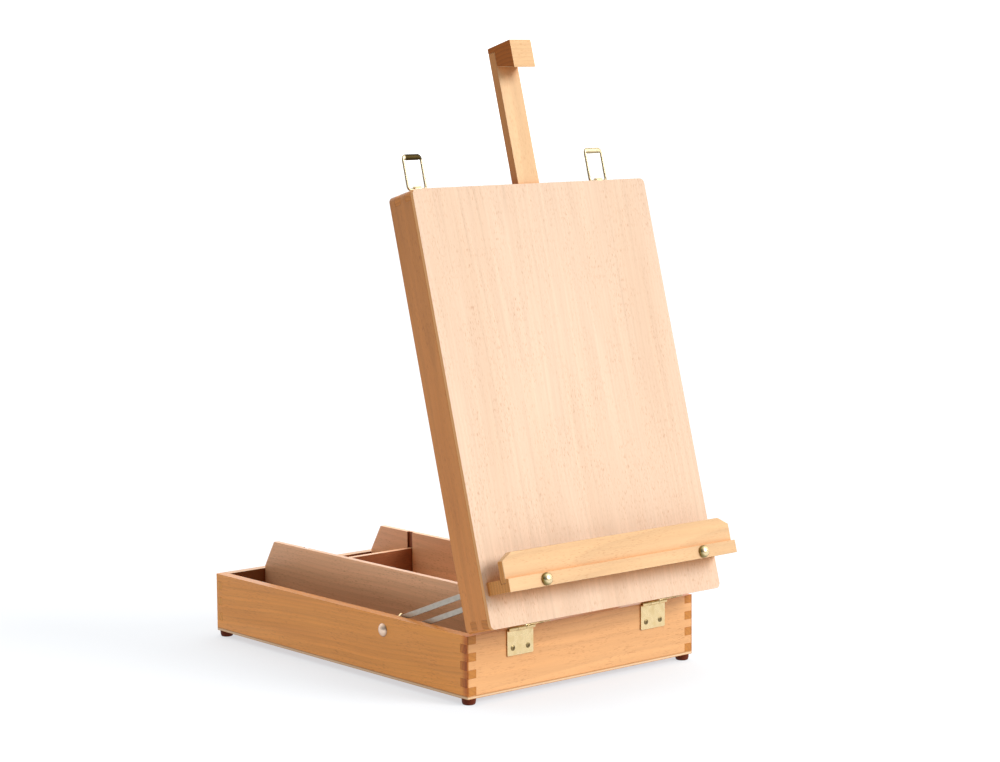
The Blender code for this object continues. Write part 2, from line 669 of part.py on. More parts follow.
def latch(side, sign):
    """A bail on the lid's back rail, and a hook lever on the box's back wall."""
    x = sign * LATCH_SPREAD + LATCH_SHIFT
    name = f"latch_plate_{side}"
    face = LID_DEPTH + GAP
    plate = ((x - 0.012, face, 0.003), (x + 0.012, face + 0.001, 0.027))
    plate = new_part(name, block_mesh(name, plate), BRASS, LID)
    pivot_v = LID_DEPTH + BAIL_OUT
    lug = ((x - 0.0035, face + 0.0005, BAIL_W - 0.0027), (x + 0.0035, pivot_v, BAIL_W + 0.0027))
    cut(plate, new_cutter(f"{name}_lug", block_mesh("lug", lug), LID), "UNION")
    barrel = rod_mesh("barrel", 0.0029, (x - 0.0036, pivot_v, BAIL_W), (x + 0.0036, pivot_v, BAIL_W))
    cut(plate, new_cutter(f"{name}_barrel", barrel, LID), "UNION")
    bore = rod_mesh("bore", 0.00175, (x - 0.007, pivot_v, BAIL_W), (x + 0.007, pivot_v, BAIL_W))
    cut(plate, new_cutter(f"{name}_bore", bore, LID))

    axis = new_empty(f"latch_bail_axis_{side}", LID, (x, pivot_v, BAIL_W))
    half = BAIL_WIDTH / 2
    wire = BAIL_WIRE / 2
    inner_half = half - 0.0020
    inner_top = BAIL_REACH - BAIL_BAR
    top = BAIL_REACH - 0.0035
    outer = [(-half, -wire), (half, -wire)] + arc((half - 0.0035, top), 0.0035, 0, 90, 4)
    outer += arc((-half + 0.0035, top), 0.0035, 90, 180, 4)
    inner = [(-inner_half, wire), (inner_half, wire)]
    inner += arc((inner_half - 0.002, inner_top - 0.002), 0.002, 0, 90, 3)
    inner += arc((-inner_half + 0.002, inner_top - 0.002), 0.002, 90, 180, 3)
    bail = outline_mesh(f"latch_bail_{side}", [outer, inner], BAIL_WIRE)
    new_part(f"latch_bail_{side}", bail, BRASS, axis)

    name = f"latch_base_{side}"
    wall = BOX_DEPTH + GAP
    plate = ((x - 0.010, wall, 0.012), (x + 0.010, wall + 0.0009, 0.050))
    base = new_part(name, block_mesh(name, plate), BRASS, BOX)
    ears = [
        ((x + ear - 0.0006, wall + 0.0004, LEVER_Z - 0.003), (x + ear + 0.0006, wall + 0.0048, LEVER_Z + 0.003))
        for ear in (-0.0072, 0.0072)
    ]
    cut(base, new_cutter(f"{name}_ears", block_mesh("ears", *ears), BOX), "UNION")
    pivot = (BOX_DEPTH + LEVER_OUT, LEVER_Z)
    bore = rod_mesh("bore", 0.00115, (x - 0.009, *pivot), (x + 0.009, *pivot))
    cut(base, new_cutter(f"{name}_bore", bore, BOX))

    axis = new_empty(f"latch_lever_axis_{side}", BOX, (x, *pivot))
    name = f"latch_lever_{side}"
    plate_in = -0.0015
    plate_out = -0.0006
    lever = ((-0.0055, plate_in, -LEVER_LENGTH), (0.0055, plate_out, 0))
    lever = new_part(name, block_mesh(name, lever), BRASS, axis)
    barrel = rod_mesh("barrel", 0.0015, (-0.0064, 0, 0), (0.0064, 0, 0))
    cut(lever, new_cutter(f"{name}_barrel", barrel, axis), "UNION")
    trunnion = rod_mesh("trunnion", 0.0010, (-0.0078, 0, 0), (0.0078, 0, 0))
    cut(lever, new_cutter(f"{name}_trunnion", trunnion, axis), "UNION")
    curl = rod_mesh("curl", 0.0019, (-0.0055, 0.0004, -LEVER_LENGTH), (0.0055, 0.0004, -LEVER_LENGTH))
    cut(lever, new_cutter(f"{name}_curl", curl, axis), "UNION")
    arm = block_mesh("hook", ((-0.004, plate_out - 0.0002, -0.0048), (0.004, 0.0046, -0.0036)))
    cut(lever, new_cutter(f"{name}_arm", arm, axis), "UNION")
    lip = block_mesh("lip", ((-0.0035, 0.0035, -0.0085), (0.0035, 0.0045, -0.0040)))
    cut(lever, new_cutter(f"{name}_lip", lip, axis), "UNION")


def carry_handle():
    """A swinging handle between the latches, on two brackets with pins."""
    for side, sign in SIDES.items():
        x = sign * HANDLE_HALF
        name = f"handle_bracket_{side}"
        wall = BOX_DEPTH + GAP
        plate = ((x - 0.009, wall, HANDLE_Z - 0.010), (x + 0.009, wall + 0.0012, HANDLE_Z + 0.010))
        bracket = new_part(name, block_mesh(name, plate), BRASS, BOX)
        lug_x = sorted((x + sign * 0.0048, x + sign * 0.0072))
        lug = ((lug_x[0], wall + 0.0006, HANDLE_Z - 0.004), (lug_x[1], wall + 0.0100, HANDLE_Z + 0.004))
        cut(bracket, new_cutter(f"{name}_lug", block_mesh("lug", lug), BOX), "UNION")
        pivot = (BOX_DEPTH + HANDLE_OUT, HANDLE_Z)
        pin = rod_mesh("pin", 0.0018, (x + sign * 0.0060, *pivot), (x - sign * 0.0040, *pivot))
        cut(bracket, new_cutter(f"{name}_pin", pin, BOX), "UNION")

    axis = new_empty("carry_handle_axis", BOX, (0, BOX_DEPTH + HANDLE_OUT, HANDLE_Z))
    bend = 0.014
    left = -HANDLE_HALF
    drop = -HANDLE_DROP
    path = [(left, -0.002)] + arc((left + bend, drop + bend), bend, 180, 270, 6)
    path += [(-x, z) for x, z in reversed(path)]
    curve = bpy.data.curves.new("carry_handle", "CURVE")
    curve.dimensions = "3D"
    curve.bevel_depth = HANDLE_RADIUS
    curve.bevel_resolution = 2
    curve.use_fill_caps = True
    spline = curve.splines.new("POLY")
    spline.points.add(len(path) - 1)
    for point, (x, z) in zip(spline.points, path):
        point.co = (x, 0, z, 1)
    drawn = bpy.data.objects.new("carry_handle", curve)
    bpy.context.scene.collection.objects.link(drawn)
    seen = drawn.evaluated_get(bpy.context.evaluated_depsgraph_get())
    mesh = bpy.data.meshes.new_from_object(seen)
    bpy.data.objects.remove(drawn, do_unlink=True)
    bm = bmesh.new()
    bm.from_mesh(mesh)
    bmesh.ops.remove_doubles(bm, verts=bm.verts, dist=0.00001)
    bmesh.ops.recalc_face_normals(bm, faces=bm.faces)
    bm.to_mesh(mesh)
    bm.free()
    handle = new_part("carry_handle", mesh, LEATHER, axis)
    for side, sign in SIDES.items():
        x = sign * HANDLE_HALF
        eye = rod_mesh("eye", 0.0046, (x - 0.0043, 0, 0), (x + 0.0043, 0, 0), ROUND)
        cut(handle, new_cutter(f"handle_eye_{side}", eye, axis), "UNION")
        hole = rod_mesh("eye_hole", 0.0021, (x - 0.0060, 0, 0), (x + 0.0060, 0, 0))
        cut(handle, new_cutter(f"handle_eye_hole_{side}", hole, axis))


empty_scene()
PARTS = new_collection("table_box_easel")
CUTTERS = new_collection("cutters")
SIDES = {"left": -1, "right": 1}
ON_EDGE = Euler((pi / 2, 0, pi / 2))    # local X along Y, local Y up, local Z along X

BEECH = new_material("beech", (0.72, 0.42, 0.20), 0.45)
BEECH_INSIDE = new_material("beech_inside", (0.50, 0.28, 0.16), 0.55)
BEECH_LID = new_material("beech_lid", (0.62, 0.36, 0.18), 0.45)
BEECH_LEDGE = new_material("beech_ledge", (0.90, 0.60, 0.33), 0.45)
BOARD_FACE = new_material("beech_board", (0.92, 0.72, 0.54), 0.50)
PLY = new_material("plywood", (0.85, 0.70, 0.50), 0.60)
BRASS = new_material("brass", (0.85, 0.70, 0.38), 0.25, 1.0)
ALUMINIUM = new_material("aluminium", (0.75, 0.75, 0.73), 0.35, 1.0)
STEEL = new_material("zinc_steel", (0.62, 0.63, 0.62), 0.35, 1.0)
RUBBER = new_material("dark_foot", (0.06, 0.02, 0.015), 0.50)
LEATHER = new_material("handle_leather", (0.12, 0.05, 0.025), 0.55)

BOX = new_empty("box_frame", None, (0, BOX_FRONT, FOOT_HEIGHT))
LID_HINGE = new_empty("lid_hinge", BOX, (0, -PIN_OUT, RIM), (LID_ANGLE, 0, 0))
LID = new_empty("lid_frame", LID_HINGE, (0, PIN_OUT, 0))    # x, v along the lid, w from its rim
bpy.context.view_layer.update()

box_walls()
box_bottom_and_feet()
dividers()
lid_frame_and_board()
for hinge_side, hinge_x in HINGE_XS.items():
    hinge(hinge_side, hinge_x)
for stay_side, stay_sign in SIDES.items():
    stay_set(stay_side, stay_sign)
    latch(stay_side, stay_sign)
ledge()
mast()
carry_handle()
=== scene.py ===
"""The looks of a table-top box easel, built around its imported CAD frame."""

from itertools import count
from math import atan2, cos, pi, radians, sin
from random import Random

import bmesh
import bpy
from mathutils import Matrix, Vector


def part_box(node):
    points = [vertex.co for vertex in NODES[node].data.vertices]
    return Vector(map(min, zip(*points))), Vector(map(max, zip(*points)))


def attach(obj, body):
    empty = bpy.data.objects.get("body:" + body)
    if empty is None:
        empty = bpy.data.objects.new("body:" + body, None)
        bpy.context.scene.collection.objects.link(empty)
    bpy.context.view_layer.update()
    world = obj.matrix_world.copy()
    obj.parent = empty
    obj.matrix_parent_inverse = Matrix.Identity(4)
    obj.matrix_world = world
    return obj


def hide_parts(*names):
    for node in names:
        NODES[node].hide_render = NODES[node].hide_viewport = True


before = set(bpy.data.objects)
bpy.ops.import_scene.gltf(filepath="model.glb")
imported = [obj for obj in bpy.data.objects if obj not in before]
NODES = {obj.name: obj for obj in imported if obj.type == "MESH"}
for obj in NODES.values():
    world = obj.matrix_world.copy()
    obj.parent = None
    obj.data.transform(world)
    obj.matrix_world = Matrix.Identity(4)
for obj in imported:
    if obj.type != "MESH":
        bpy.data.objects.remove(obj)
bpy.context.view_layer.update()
SIDES = {"left": -1, "right": 1}

# Sizes in metres, in two local frames. The box's frame starts at its front edge, at the underside
# of its ply. The lid's has x across, y along it from its hinge end, and z from its rim plane to
# its outer face.
WIDE = 0.140           # half the box's width
DEEP = 0.400           # the box's depth, which is also the lid's length
RIM = 0.058            # the height of the box's rim
FLOOR = 0.003          # the thickness of its ply bottom
THICK = 0.010          # the thickness of every wall and rail
LID_WIDE = 0.142       # half the lid's width
LID_HIGH = 0.032       # the height of the lid's rails
BOARD_TOP = 0.036      # the outer face of the canvas board
LID_CORNER = 0.005     # the radius of the lid's corners
FOOT_HIGH = 0.006
HINGE_OUT = 0.0025     # from the box's front to the hinge axis
SEAM = 0.00004         # the gap between two glued pieces
NICK = 0.00002         # how far a cut passes a face that two pieces share
PAST = 0.001           # how far a cutter reaches out of the solid it cuts
BOX_FRONT = -0.1745
LID_ANGLE = radians(74.7)
BOX = Matrix.Translation((0, BOX_FRONT, FOOT_HIGH))
LID = (Matrix.Translation((0, BOX_FRONT - HINGE_OUT, FOOT_HIGH + RIM))
       @ Matrix.Rotation(LID_ANGLE, 4, "X") @ Matrix.Translation((0, HINGE_OUT, 0)))


# ---------------------------------------------------------------- mesh helpers

def temp_object(mesh):
    made = bpy.data.objects.new("temp", mesh)
    bpy.context.scene.collection.objects.link(made)
    return made


def evaluated(obj):
    """The object's mesh with its modifiers applied. The object and its old mesh are removed."""
    bpy.context.view_layer.update()
    seen = obj.evaluated_get(bpy.context.evaluated_depsgraph_get())
    mesh = bpy.data.meshes.new_from_object(seen)
    old = obj.data
    bpy.data.objects.remove(obj, do_unlink=True)
    if old.users == 0:
        bpy.data.meshes.remove(old)
    return mesh


def combine(mesh, others, operation="DIFFERENCE"):
    """Boolean of the first mesh with each of the others."""
    obj = temp_object(mesh)
    tools = [temp_object(other) for other in others]
    for tool in tools:
        boolean = obj.modifiers.new("boolean", "BOOLEAN")
        boolean.operation = operation
        boolean.solver = "EXACT"
        boolean.object = tool
    made = evaluated(obj)
    for tool in tools:
        bpy.data.objects.remove(tool, do_unlink=True)
    return made


def smoothed(mesh, angle):
    """The mesh shaded smooth, apart from edges that turn by more than the angle in degrees."""
    mesh.shade_smooth()
    mesh.set_sharp_from_angle(angle=radians(angle))
    return mesh


def bevelled(mesh, width, segments):
    """Rounded edges with normals that keep the flat faces flat."""
    bm = bmesh.new()
    bm.from_mesh(mesh)
    bmesh.ops.remove_doubles(bm, verts=bm.verts, dist=0.000002)
    bmesh.ops.dissolve_limit(bm, angle_limit=radians(1), verts=bm.verts, edges=bm.edges)
    bmesh.ops.connect_verts_concave(bm, faces=bm.faces)
    bm.to_mesh(mesh)
    bm.free()
    obj = temp_object(mesh)
    mesh.shade_smooth()
    bevel = obj.modifiers.new("bevel", "BEVEL")
    bevel.width = width
    bevel.segments = segments
    bevel.limit_method = "ANGLE"
    bevel.angle_limit = radians(35)
    bevel.use_clamp_overlap = True
    bevel.harden_normals = True
    return evaluated(obj)


def cuboid(low, high, soft=(), radius=0.0, segments=4):
    """A box whose edges along the soft axes are rounded."""
    mesh = bpy.data.meshes.new("cuboid")
    bm = bmesh.new()
    verts = bmesh.ops.create_cube(bm, size=1.0)["verts"]
    for vert in verts:
        vert.co = Vector([a + (c + 0.5) * (b - a) for a, b, c in zip(low, high, vert.co)])
    if radius:
        edges = []
        for edge in bm.edges:
            run = (edge.verts[1].co - edge.verts[0].co).normalized()
            if any(abs(run[axis]) > 0.9 for axis in soft):
                edges.append(edge)
        bmesh.ops.bevel(bm, geom=edges, offset=radius, segments=segments, profile=0.5,
                        affect="EDGES")
    bm.to_mesh(mesh)
    bm.free()
    return mesh


def outward(bm, name):
    """A mesh of the closed bmesh, with its faces turned outward."""
    bmesh.ops.recalc_face_normals(bm, faces=bm.faces)
    mesh = bpy.data.meshes.new(name)
    bm.to_mesh(mesh)
    bm.free()
    return mesh


def prism(loop, low, high, axis):
    """A closed loop of 2D points extruded along an axis. It lies in the other two, in order."""
    first, second = [i for i in range(3) if i != axis]
    bm = bmesh.new()
    rings = []
    for level in (low, high):
        ring = []
        for a, b in loop:
            co = [0, 0, 0]
            co[first] = a
            co[second] = b
            co[axis] = level
            ring.append(bm.verts.new(co))
        rings.append(ring)
    bm.faces.new(rings[0])
    bm.faces.new(rings[1])
    for i in range(len(loop)):
        j = (i + 1) % len(loop)
        bm.faces.new((rings[0][i], rings[0][j], rings[1][j], rings[1][i]))
    return outward(bm, "prism")


def lathe(profile, facets):
    """(radius, height) points turned about Z into a closed smooth solid."""
    bm = bmesh.new()
    rings = []
    for radius, height in profile:
        if radius < 1e-7:
            rings.append([bm.verts.new((0, 0, height))])
            continue
        angles = [2 * pi * i / facets for i in range(facets)]
        rings.append([bm.verts.new((radius * cos(a), radius * sin(a), height)) for a in angles])
    for lower, upper in zip(rings, rings[1:]):
        for i in range(facets):
            j = (i + 1) % facets
            if len(lower) == 1:
                bm.faces.new((lower[0], upper[i], upper[j]))
            elif len(upper) == 1:
                bm.faces.new((lower[i], upper[0], lower[j]))
            else:
                bm.faces.new((lower[i], lower[j], upper[j], upper[i]))
    return smoothed(outward(bm, "lathe"), 40)


def rod(radius, start, end, facets=28):
    """A plain round bar as a cutter or for joining."""
    start = Vector(start)
    end = Vector(end)
    run = end - start
    turn = run.to_track_quat("Z", "Y").to_matrix().to_4x4()
    mesh = bpy.data.meshes.new("rod")
    bm = bmesh.new()
    bmesh.ops.create_cone(bm, cap_ends=True, segments=facets, radius1=radius, radius2=radius,
                          depth=run.length, matrix=Matrix.Translation((start + end) / 2) @ turn)
    bm.to_mesh(mesh)
    bm.free()
    return mesh


def bridge(bm, rings, closed=False):
    """Faces between neighbouring rings of points. Open rings get a flat face at each end."""
    pairs = list(zip(rings, rings[1:]))
    if closed:
        pairs.append((rings[-1], rings[0]))
    for one, other in pairs:
        for i in range(len(one)):
            j = (i + 1) % len(one)
            bm.faces.new((one[i], one[j], other[j], other[i]))
    if not closed:
        bm.faces.new(rings[0])
        bm.faces.new(rings[-1])


def sweep(path, section, closed=False):
    """A tube along a path in the XZ plane. section(i) gives its half sizes in that plane and
    across it."""
    facets = 14
    up = Vector((0, 1, 0))
    bm = bmesh.new()
    rings = []
    for i, point in enumerate(path):
        before = path[i - 1] if (i or closed) else path[i]
        after = path[(i + 1) % len(path)] if (i < len(path) - 1 or closed) else path[i]
        run = (Vector(after) - Vector(before)).normalized()
        side = run.cross(up).normalized()
        flat, thick = section(i)
        angles = [2 * pi * k / facets for k in range(facets)]
        rings.append([bm.verts.new(Vector(point) + side * flat * cos(a) + up * thick * sin(a))
                      for a in angles])
    bridge(bm, rings, closed)
    return smoothed(outward(bm, "sweep"), 50)


def joined(meshes):
    """One smooth mesh made of several."""
    mesh = bpy.data.meshes.new("joined")
    bm = bmesh.new()
    for part in meshes:
        bm.from_mesh(part)
        bpy.data.meshes.remove(part)
    bm.to_mesh(mesh)
    bm.free()
    mesh.shade_smooth()
    return mesh


def arc(centre, radius, start, end, steps):
    """Points along an arc, from one angle in degrees to another."""
    angles = [radians(start + (end - start) * i / steps) for i in range(steps + 1)]
    return [(centre[0] + radius * cos(a), centre[1] + radius * sin(a)) for a in angles]


def dome(radius, height, base, steps):
    """Profile points of a shallow dome, from its crown down to its rim."""
    ball = (radius * radius + height * height) / (2 * height)
    widest = atan2(radius, ball - height)
    angles = [widest * i / steps for i in range(steps + 1)]
    return [(ball * sin(a), base + height - ball + ball * cos(a)) for a in angles]


def eased(share):
    """A share from 0 to 1 that starts and ends gently."""
    return share * share * (3 - 2 * share)


def spot(local, point, facing=None, spin=0.0):
    """A place in a local frame, with +Z turned to face a direction and then spun about +Z."""
    at = local @ Matrix.Translation(point)
    if facing is None:
        return at
    turn = Vector(facing).to_track_quat("Z", "Y").to_matrix().to_4x4()
    return at @ (turn @ Matrix.Rotation(spin, 4, "Z"))


def place(name, mesh, at, body, material, nodes=()):
    """Puts a finished mesh into the scene as a piece on a body."""
    mesh.name = name
    mesh.materials.clear()
    mesh.materials.append(material)
    obj = bpy.data.objects.new(name, mesh)
    bpy.context.scene.collection.objects.link(obj)
    obj.matrix_world = at
    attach(obj, body)
    if nodes:
        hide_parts(*nodes)


def round_off(name, width, material):
    """Keeps a CAD node, with softened edges and a finished material."""
    node = NODES[name]
    node.data.materials.clear()
    node.data.materials.append(material)
    bevel = node.modifiers.new("soft_edges", "BEVEL")
    bevel.width = width
    bevel.segments = 2
    bevel.limit_method = "ANGLE"
    bevel.angle_limit = radians(40)


# ---------------------------------------------------------------- grain

BOARD_SEEDS = count(17, 17)


def add_grain(mesh, along, thick, ply=False, shaded=None, flip=False, cut_strength=1.0):
    """Writes each point's place in the board, and which faces are cut across the grain.

    along and thick are axes of the mesh. The grain vector runs along, across and through the
    board, measured from a pith that lies behind it. run and reach tell how near a point is to the
    board's ends, side marks its narrow long faces, where a painted side shade can go, and
    shaded picks the faces that get a painted shade, dark as if unlit. flip says that
    the outer face is the far one. cut_strength is how much of the end grain's colour a cut end
    shows."""
    across = 3 - along - thick
    random = Random(next(BOARD_SEEDS))
    low = [min(v.co[axis] for v in mesh.vertices) for axis in range(3)]
    high = [max(v.co[axis] for v in mesh.vertices) for axis in range(3)]
    mid = (low[across] + high[across]) / 2
    mid += random.uniform(-0.3, 0.3) * (high[across] - low[across])
    start = random.uniform(0, 3)
    pith = random.uniform(0.030, 0.060)
    centre = (low[along] + high[along]) / 2
    grains = []
    layers = []
    runs = []
    for vert in mesh.vertices:
        co = vert.co
        grains += [co[along] + start, co[across] - mid, co[thick] - low[thick] + pith]
        layer = (co[thick] - low[thick]) / (high[thick] - low[thick])
        layers.append(1 - layer if flip else layer)
        runs.append(co[along] - centre)
    cuts = []
    for face in mesh.polygons:
        if ply:
            cuts.append(1.0 if abs(face.normal[thick]) < 0.6 else 0.0)
        else:
            cuts.append(cut_strength if abs(face.normal[along]) > 0.75 else 0.0)
    side_shade = [1.0 if abs(face.normal[across]) > 0.75 else 0.0 for face in mesh.polygons]
    # Faces that get a painted shade.
    shade_marks = [1.0 if shaded and shaded(face.center, face.normal) else 0.0 for face in mesh.polygons]
    reaches = [high[along] - centre] * len(mesh.vertices)
    tones = [random.uniform(-1, 1)] * len(mesh.vertices)
    for name, kind, domain, key, values in (
        ("side", "FLOAT", "FACE", "value", side_shade),
        ("dim", "FLOAT", "FACE", "value", shade_marks),
        ("grain", "FLOAT_VECTOR", "POINT", "vector", grains),
        ("layer", "FLOAT", "POINT", "value", layers),
        ("run", "FLOAT", "POINT", "value", runs),
        ("reach", "FLOAT", "POINT", "value", reaches),
        ("cut", "FLOAT", "FACE", "value", cuts),
        ("tone", "FLOAT", "POINT", "value", tones),
    ):
        mesh.attributes.new(name, kind, domain).data.foreach_set(key, values)


def wood(name, mesh, at, body, slot, material, along, thick, node, bevel, segments, **grain):
    """Places a wooden piece that replaces one CAD node."""
    mesh = bevelled(mesh, bevel, segments)
    add_grain(mesh, along, thick, **grain)
    place(name, mesh, at, body, material, [node])


# ---------------------------------------------------------------- materials

class Tree:
    """A short way to wire a material's node tree."""

    def __init__(self, material):
        material.use_nodes = True
        self.tree = material.node_tree
        self.shader = self.tree.nodes["Principled BSDF"]

    def node(self, kind, inputs=None, **settings):
        made = self.tree.nodes.new(kind)
        for key, value in settings.items():
            setattr(made, key, value)
        for key, value in (inputs or {}).items():
            self.feed(made.inputs[key], value)
        return made

    def feed(self, socket, value):
        if isinstance(value, bpy.types.NodeSocket):
            self.tree.links.new(value, socket)
        else:
            socket.default_value = value

    def math(self, operation, a, b=0.0):
        return self.node("ShaderNodeMath", {0: a, 1: b}, operation=operation).outputs[0]

    def plus(self, a, b):
        return self.math("ADD", a, b)

    def minus(self, a, b):
        return self.math("SUBTRACT", a, b)

    def times(self, a, b):
        return self.math("MULTIPLY", a, b)

    def stretched(self, vector, factors):
        made = self.node("ShaderNodeVectorMath", {0: vector, 1: factors}, operation="MULTIPLY")
        return made.outputs[0]

    def mix(self, factor, a, b, blend="MIX"):
        made = self.node("ShaderNodeMix", data_type="RGBA", blend_type=blend)
        self.feed(made.inputs[0], factor)
        self.feed(made.inputs[6], a)
        self.feed(made.inputs[7], b)
        return made.outputs[2]

    def tinted(self, factor, colour, tint):
        """The colour, multiplied by a tint as far as the factor says."""
        return self.mix(factor, colour, self.mix(1.0, colour, tint, "MULTIPLY"))

    def noise(self, vector, scale, detail, rough=0.5):
        inputs = {"Vector": vector, "Scale": scale, "Detail": detail, "Roughness": rough}
        return self.node("ShaderNodeTexNoise", inputs).outputs["Fac"]

    def cells(self, vector, per_metre, detail):
        """Noise with a number of cells per metre along each axis."""
        return self.noise(self.stretched(vector, per_metre), 1, detail)

    def span(self, value, low, high, to_low=0.0, to_high=1.0):
        return self.node("ShaderNodeMapRange", {
            "Value": value, "From Min": low, "From Max": high, "To Min": to_low, "To Max": to_high,
        }).outputs["Result"]

    def attribute(self, name, output="Fac"):
        return self.node("ShaderNodeAttribute", attribute_name=name).outputs[output]

    def position(self):
        return self.node("ShaderNodeTexCoord").outputs["Object"]

    def axes(self, vector):
        return self.node("ShaderNodeSeparateXYZ", {"Vector": vector}).outputs

    def openness(self, distance):
        """How much of its surroundings a point sees within a distance, from 0 to 1."""
        made = self.node("ShaderNodeAmbientOcclusion", {"Distance": distance}, samples=6)
        return made.outputs["AO"]

    def grey(self, value):
        inputs = {"Red": value, "Green": value, "Blue": value}
        return self.node("ShaderNodeCombineColor", inputs).outputs[0]

    def bump(self, height, strength, distance):
        inputs = {"Height": height, "Strength": strength, "Distance": distance}
        return self.node("ShaderNodeBump", inputs).outputs["Normal"]


def rgb(*values):
    return (*values, 1.0)


YEARS_PER_METRE = 260.0
CORNER_CLEAR = 0.0085  # how far from a corner the wood is no longer darkened
CORNER_DARK = 0.0030   # how far from it the wood is at its darkest
CORNER_TINT = rgb(0.66, 0.42, 0.14)
PAINTED_SHADE_TINT = rgb(0.36, 0.22, 0.16)
# Painted shade for nooks: tints for points that see little of their surroundings within a reach,
# for wood and for metal.
DEEP_NOOK_SHADE = rgb(0.5, 0.32, 0.14)
METAL_NOOK_SHADE = rgb(0.42, 0.34, 0.15)
NOOK_SHADE_REACH = 0.020
METAL_NOOK_SHADE_REACH = 0.012


def wood_material(name, pale, deep, fleck, end, rough=0.42, shine=0.3, coat=0.12, flecks=0.5,
                  rings=0.5, bands=0.26, tilt=0.0, far_end_shade=0.0, crease_shade=(1.0, 0.60, 0.24),
                  layers=None, corner=None, side_shade=None):
    """Steamed beech: faint growth rings, short dark flecks along the grain and darker cut ends.

    pale and deep are the tones of its broad figure. flecks, rings and bands say how strongly each
    shows, tilt leans the figure across the board, and far_end_shade paints shade on it: darker
    towards its far end, lighter towards its near end. crease_shade is the painted shade in its
    nooks, side_shade the painted shade on its narrow long faces, and layers is the height of a ply
    edge's core and the colour of its skins. corner darkens the board near its ends: it says whether
    it does so at both, and how fast the band ends along the board and into it."""
    material = bpy.data.materials.new(name)
    t = Tree(material)
    grain = t.attribute("grain", "Vector")
    cut = t.attribute("cut")
    tone = t.attribute("tone")

    parts = t.axes(grain)
    along, side, out = parts["X"], parts["Y"], parts["Z"]
    wander = t.times(t.minus(t.cells(grain, (4, 9, 9), 2), 0.5), 0.016)
    across = t.plus(t.plus(side, t.times(along, tilt)), wander)
    through = t.plus(out, t.times(t.math("SINE", t.times(along, 5.0)), 0.006))
    radius = t.math("SQRT", t.plus(t.times(across, across), t.times(through, through)))
    year = t.math("FRACT", t.times(radius, YEARS_PER_METRE))
    year = t.times(t.times(year, year), t.span(year, 1.0, 0.9))
    broad = t.cells(grain, (2.5, 26, 26), 3)
    lean = t.node("ShaderNodeCombineXYZ", {"X": along, "Y": across, "Z": out}).outputs[0]
    streak = t.cells(lean, (5, 210, 210), 3)
    fibre = t.cells(grain, (70, 2600, 2600), 2)
    dash = t.cells(grain, (210, 1250, 1250), 1)
    patch = t.cells(grain, (25, 60, 60), 2)
    dash = t.times(t.span(dash, 0.57, 0.70), t.span(patch, 0.30, 0.62))

    colour = t.mix(t.span(broad, 0.3, 0.7), rgb(*pale), rgb(*deep))
    lift = t.times(t.minus(0.25, year), rings * 0.22)
    lift = t.plus(lift, t.times(t.minus(streak, 0.5), bands))
    lift = t.plus(lift, t.times(t.minus(fibre, 0.5), 0.14))
    lift = t.plus(lift, t.times(tone, 0.03))
    colour = t.mix(1.0, colour, t.grey(t.plus(1.0, lift)), "MULTIPLY")
    colour = t.mix(t.times(dash, flecks), colour, rgb(*fleck))
    if layers:
        core, skin = layers
        depth = t.math("ABSOLUTE", t.minus(t.attribute("layer"), core))
        edge = t.mix(t.span(depth, 0.20, 0.30), rgb(*end), rgb(*skin))
    else:
        pore = t.cells(grain, (900, 1700, 1700), 2)
        year = t.times(t.span(year, 0, 1, 1.08, 0.78), t.span(pore, 0.3, 0.7, 0.86, 1.1))
        edge = t.mix(1.0, rgb(*end), t.grey(year), "MULTIPLY")
    colour = t.mix(cut, colour, edge)
    if corner:
        both_ends, stretch, inward = corner
        run = t.attribute("run")
        away = t.times(t.minus(t.attribute("reach"), t.math("ABSOLUTE", run)), stretch)
        away = t.math("MAXIMUM", away, t.times(t.attribute("layer"), inward * THICK))
        band = t.span(away, CORNER_CLEAR, CORNER_DARK)
        dim = t.times(band, t.span(patch, 0.25, 0.65, 0.75, 1.0))
        if not both_ends:
            dim = t.times(dim, t.span(run, 0.0, -0.01))
        colour = t.tinted(dim, colour, CORNER_TINT)
    # Painted shade on the narrow long faces.
    if side_shade:
        colour = t.tinted(t.attribute("side"), colour, rgb(*side_shade))
    # Painted shade: darker towards the far end of the piece's run and lighter towards its near end,
    # for how light falls along the standing lid.
    if far_end_shade:
        darker = t.grey(t.minus(1.0, t.times(t.attribute("run"), far_end_shade)))
        colour = t.mix(1.0, colour, darker, "MULTIPLY")
    # Painted shade: the picked faces are darkened as if unlit.
    colour = t.tinted(t.attribute("dim"), colour, PAINTED_SHADE_TINT)
    # Painted shade: the colour is tinted darker and warmer where a point sees little of its
    # surroundings, in nooks, creases and under parts.
    seen = t.openness(NOOK_SHADE_REACH)
    colour = t.tinted(t.span(seen, 0.80, 0.25), colour, rgb(*crease_shade))
    colour = t.tinted(t.span(seen, 0.34, 0.10), colour, DEEP_NOOK_SHADE)
    t.feed(t.shader.inputs["Base Color"], colour)
    gloss = t.plus(rough - 0.05, t.times(broad, 0.1))
    t.feed(t.shader.inputs["Roughness"], t.plus(gloss, t.times(cut, 0.14)))
    height = t.minus(t.times(fibre, 0.5), dash)
    t.feed(t.shader.inputs["Normal"], t.bump(height, 0.22, 0.00012))
    t.shader.inputs["Specular IOR Level"].default_value = shine
    t.shader.inputs["Coat Weight"].default_value = coat
    t.shader.inputs["Coat Roughness"].default_value = 0.25
    return material


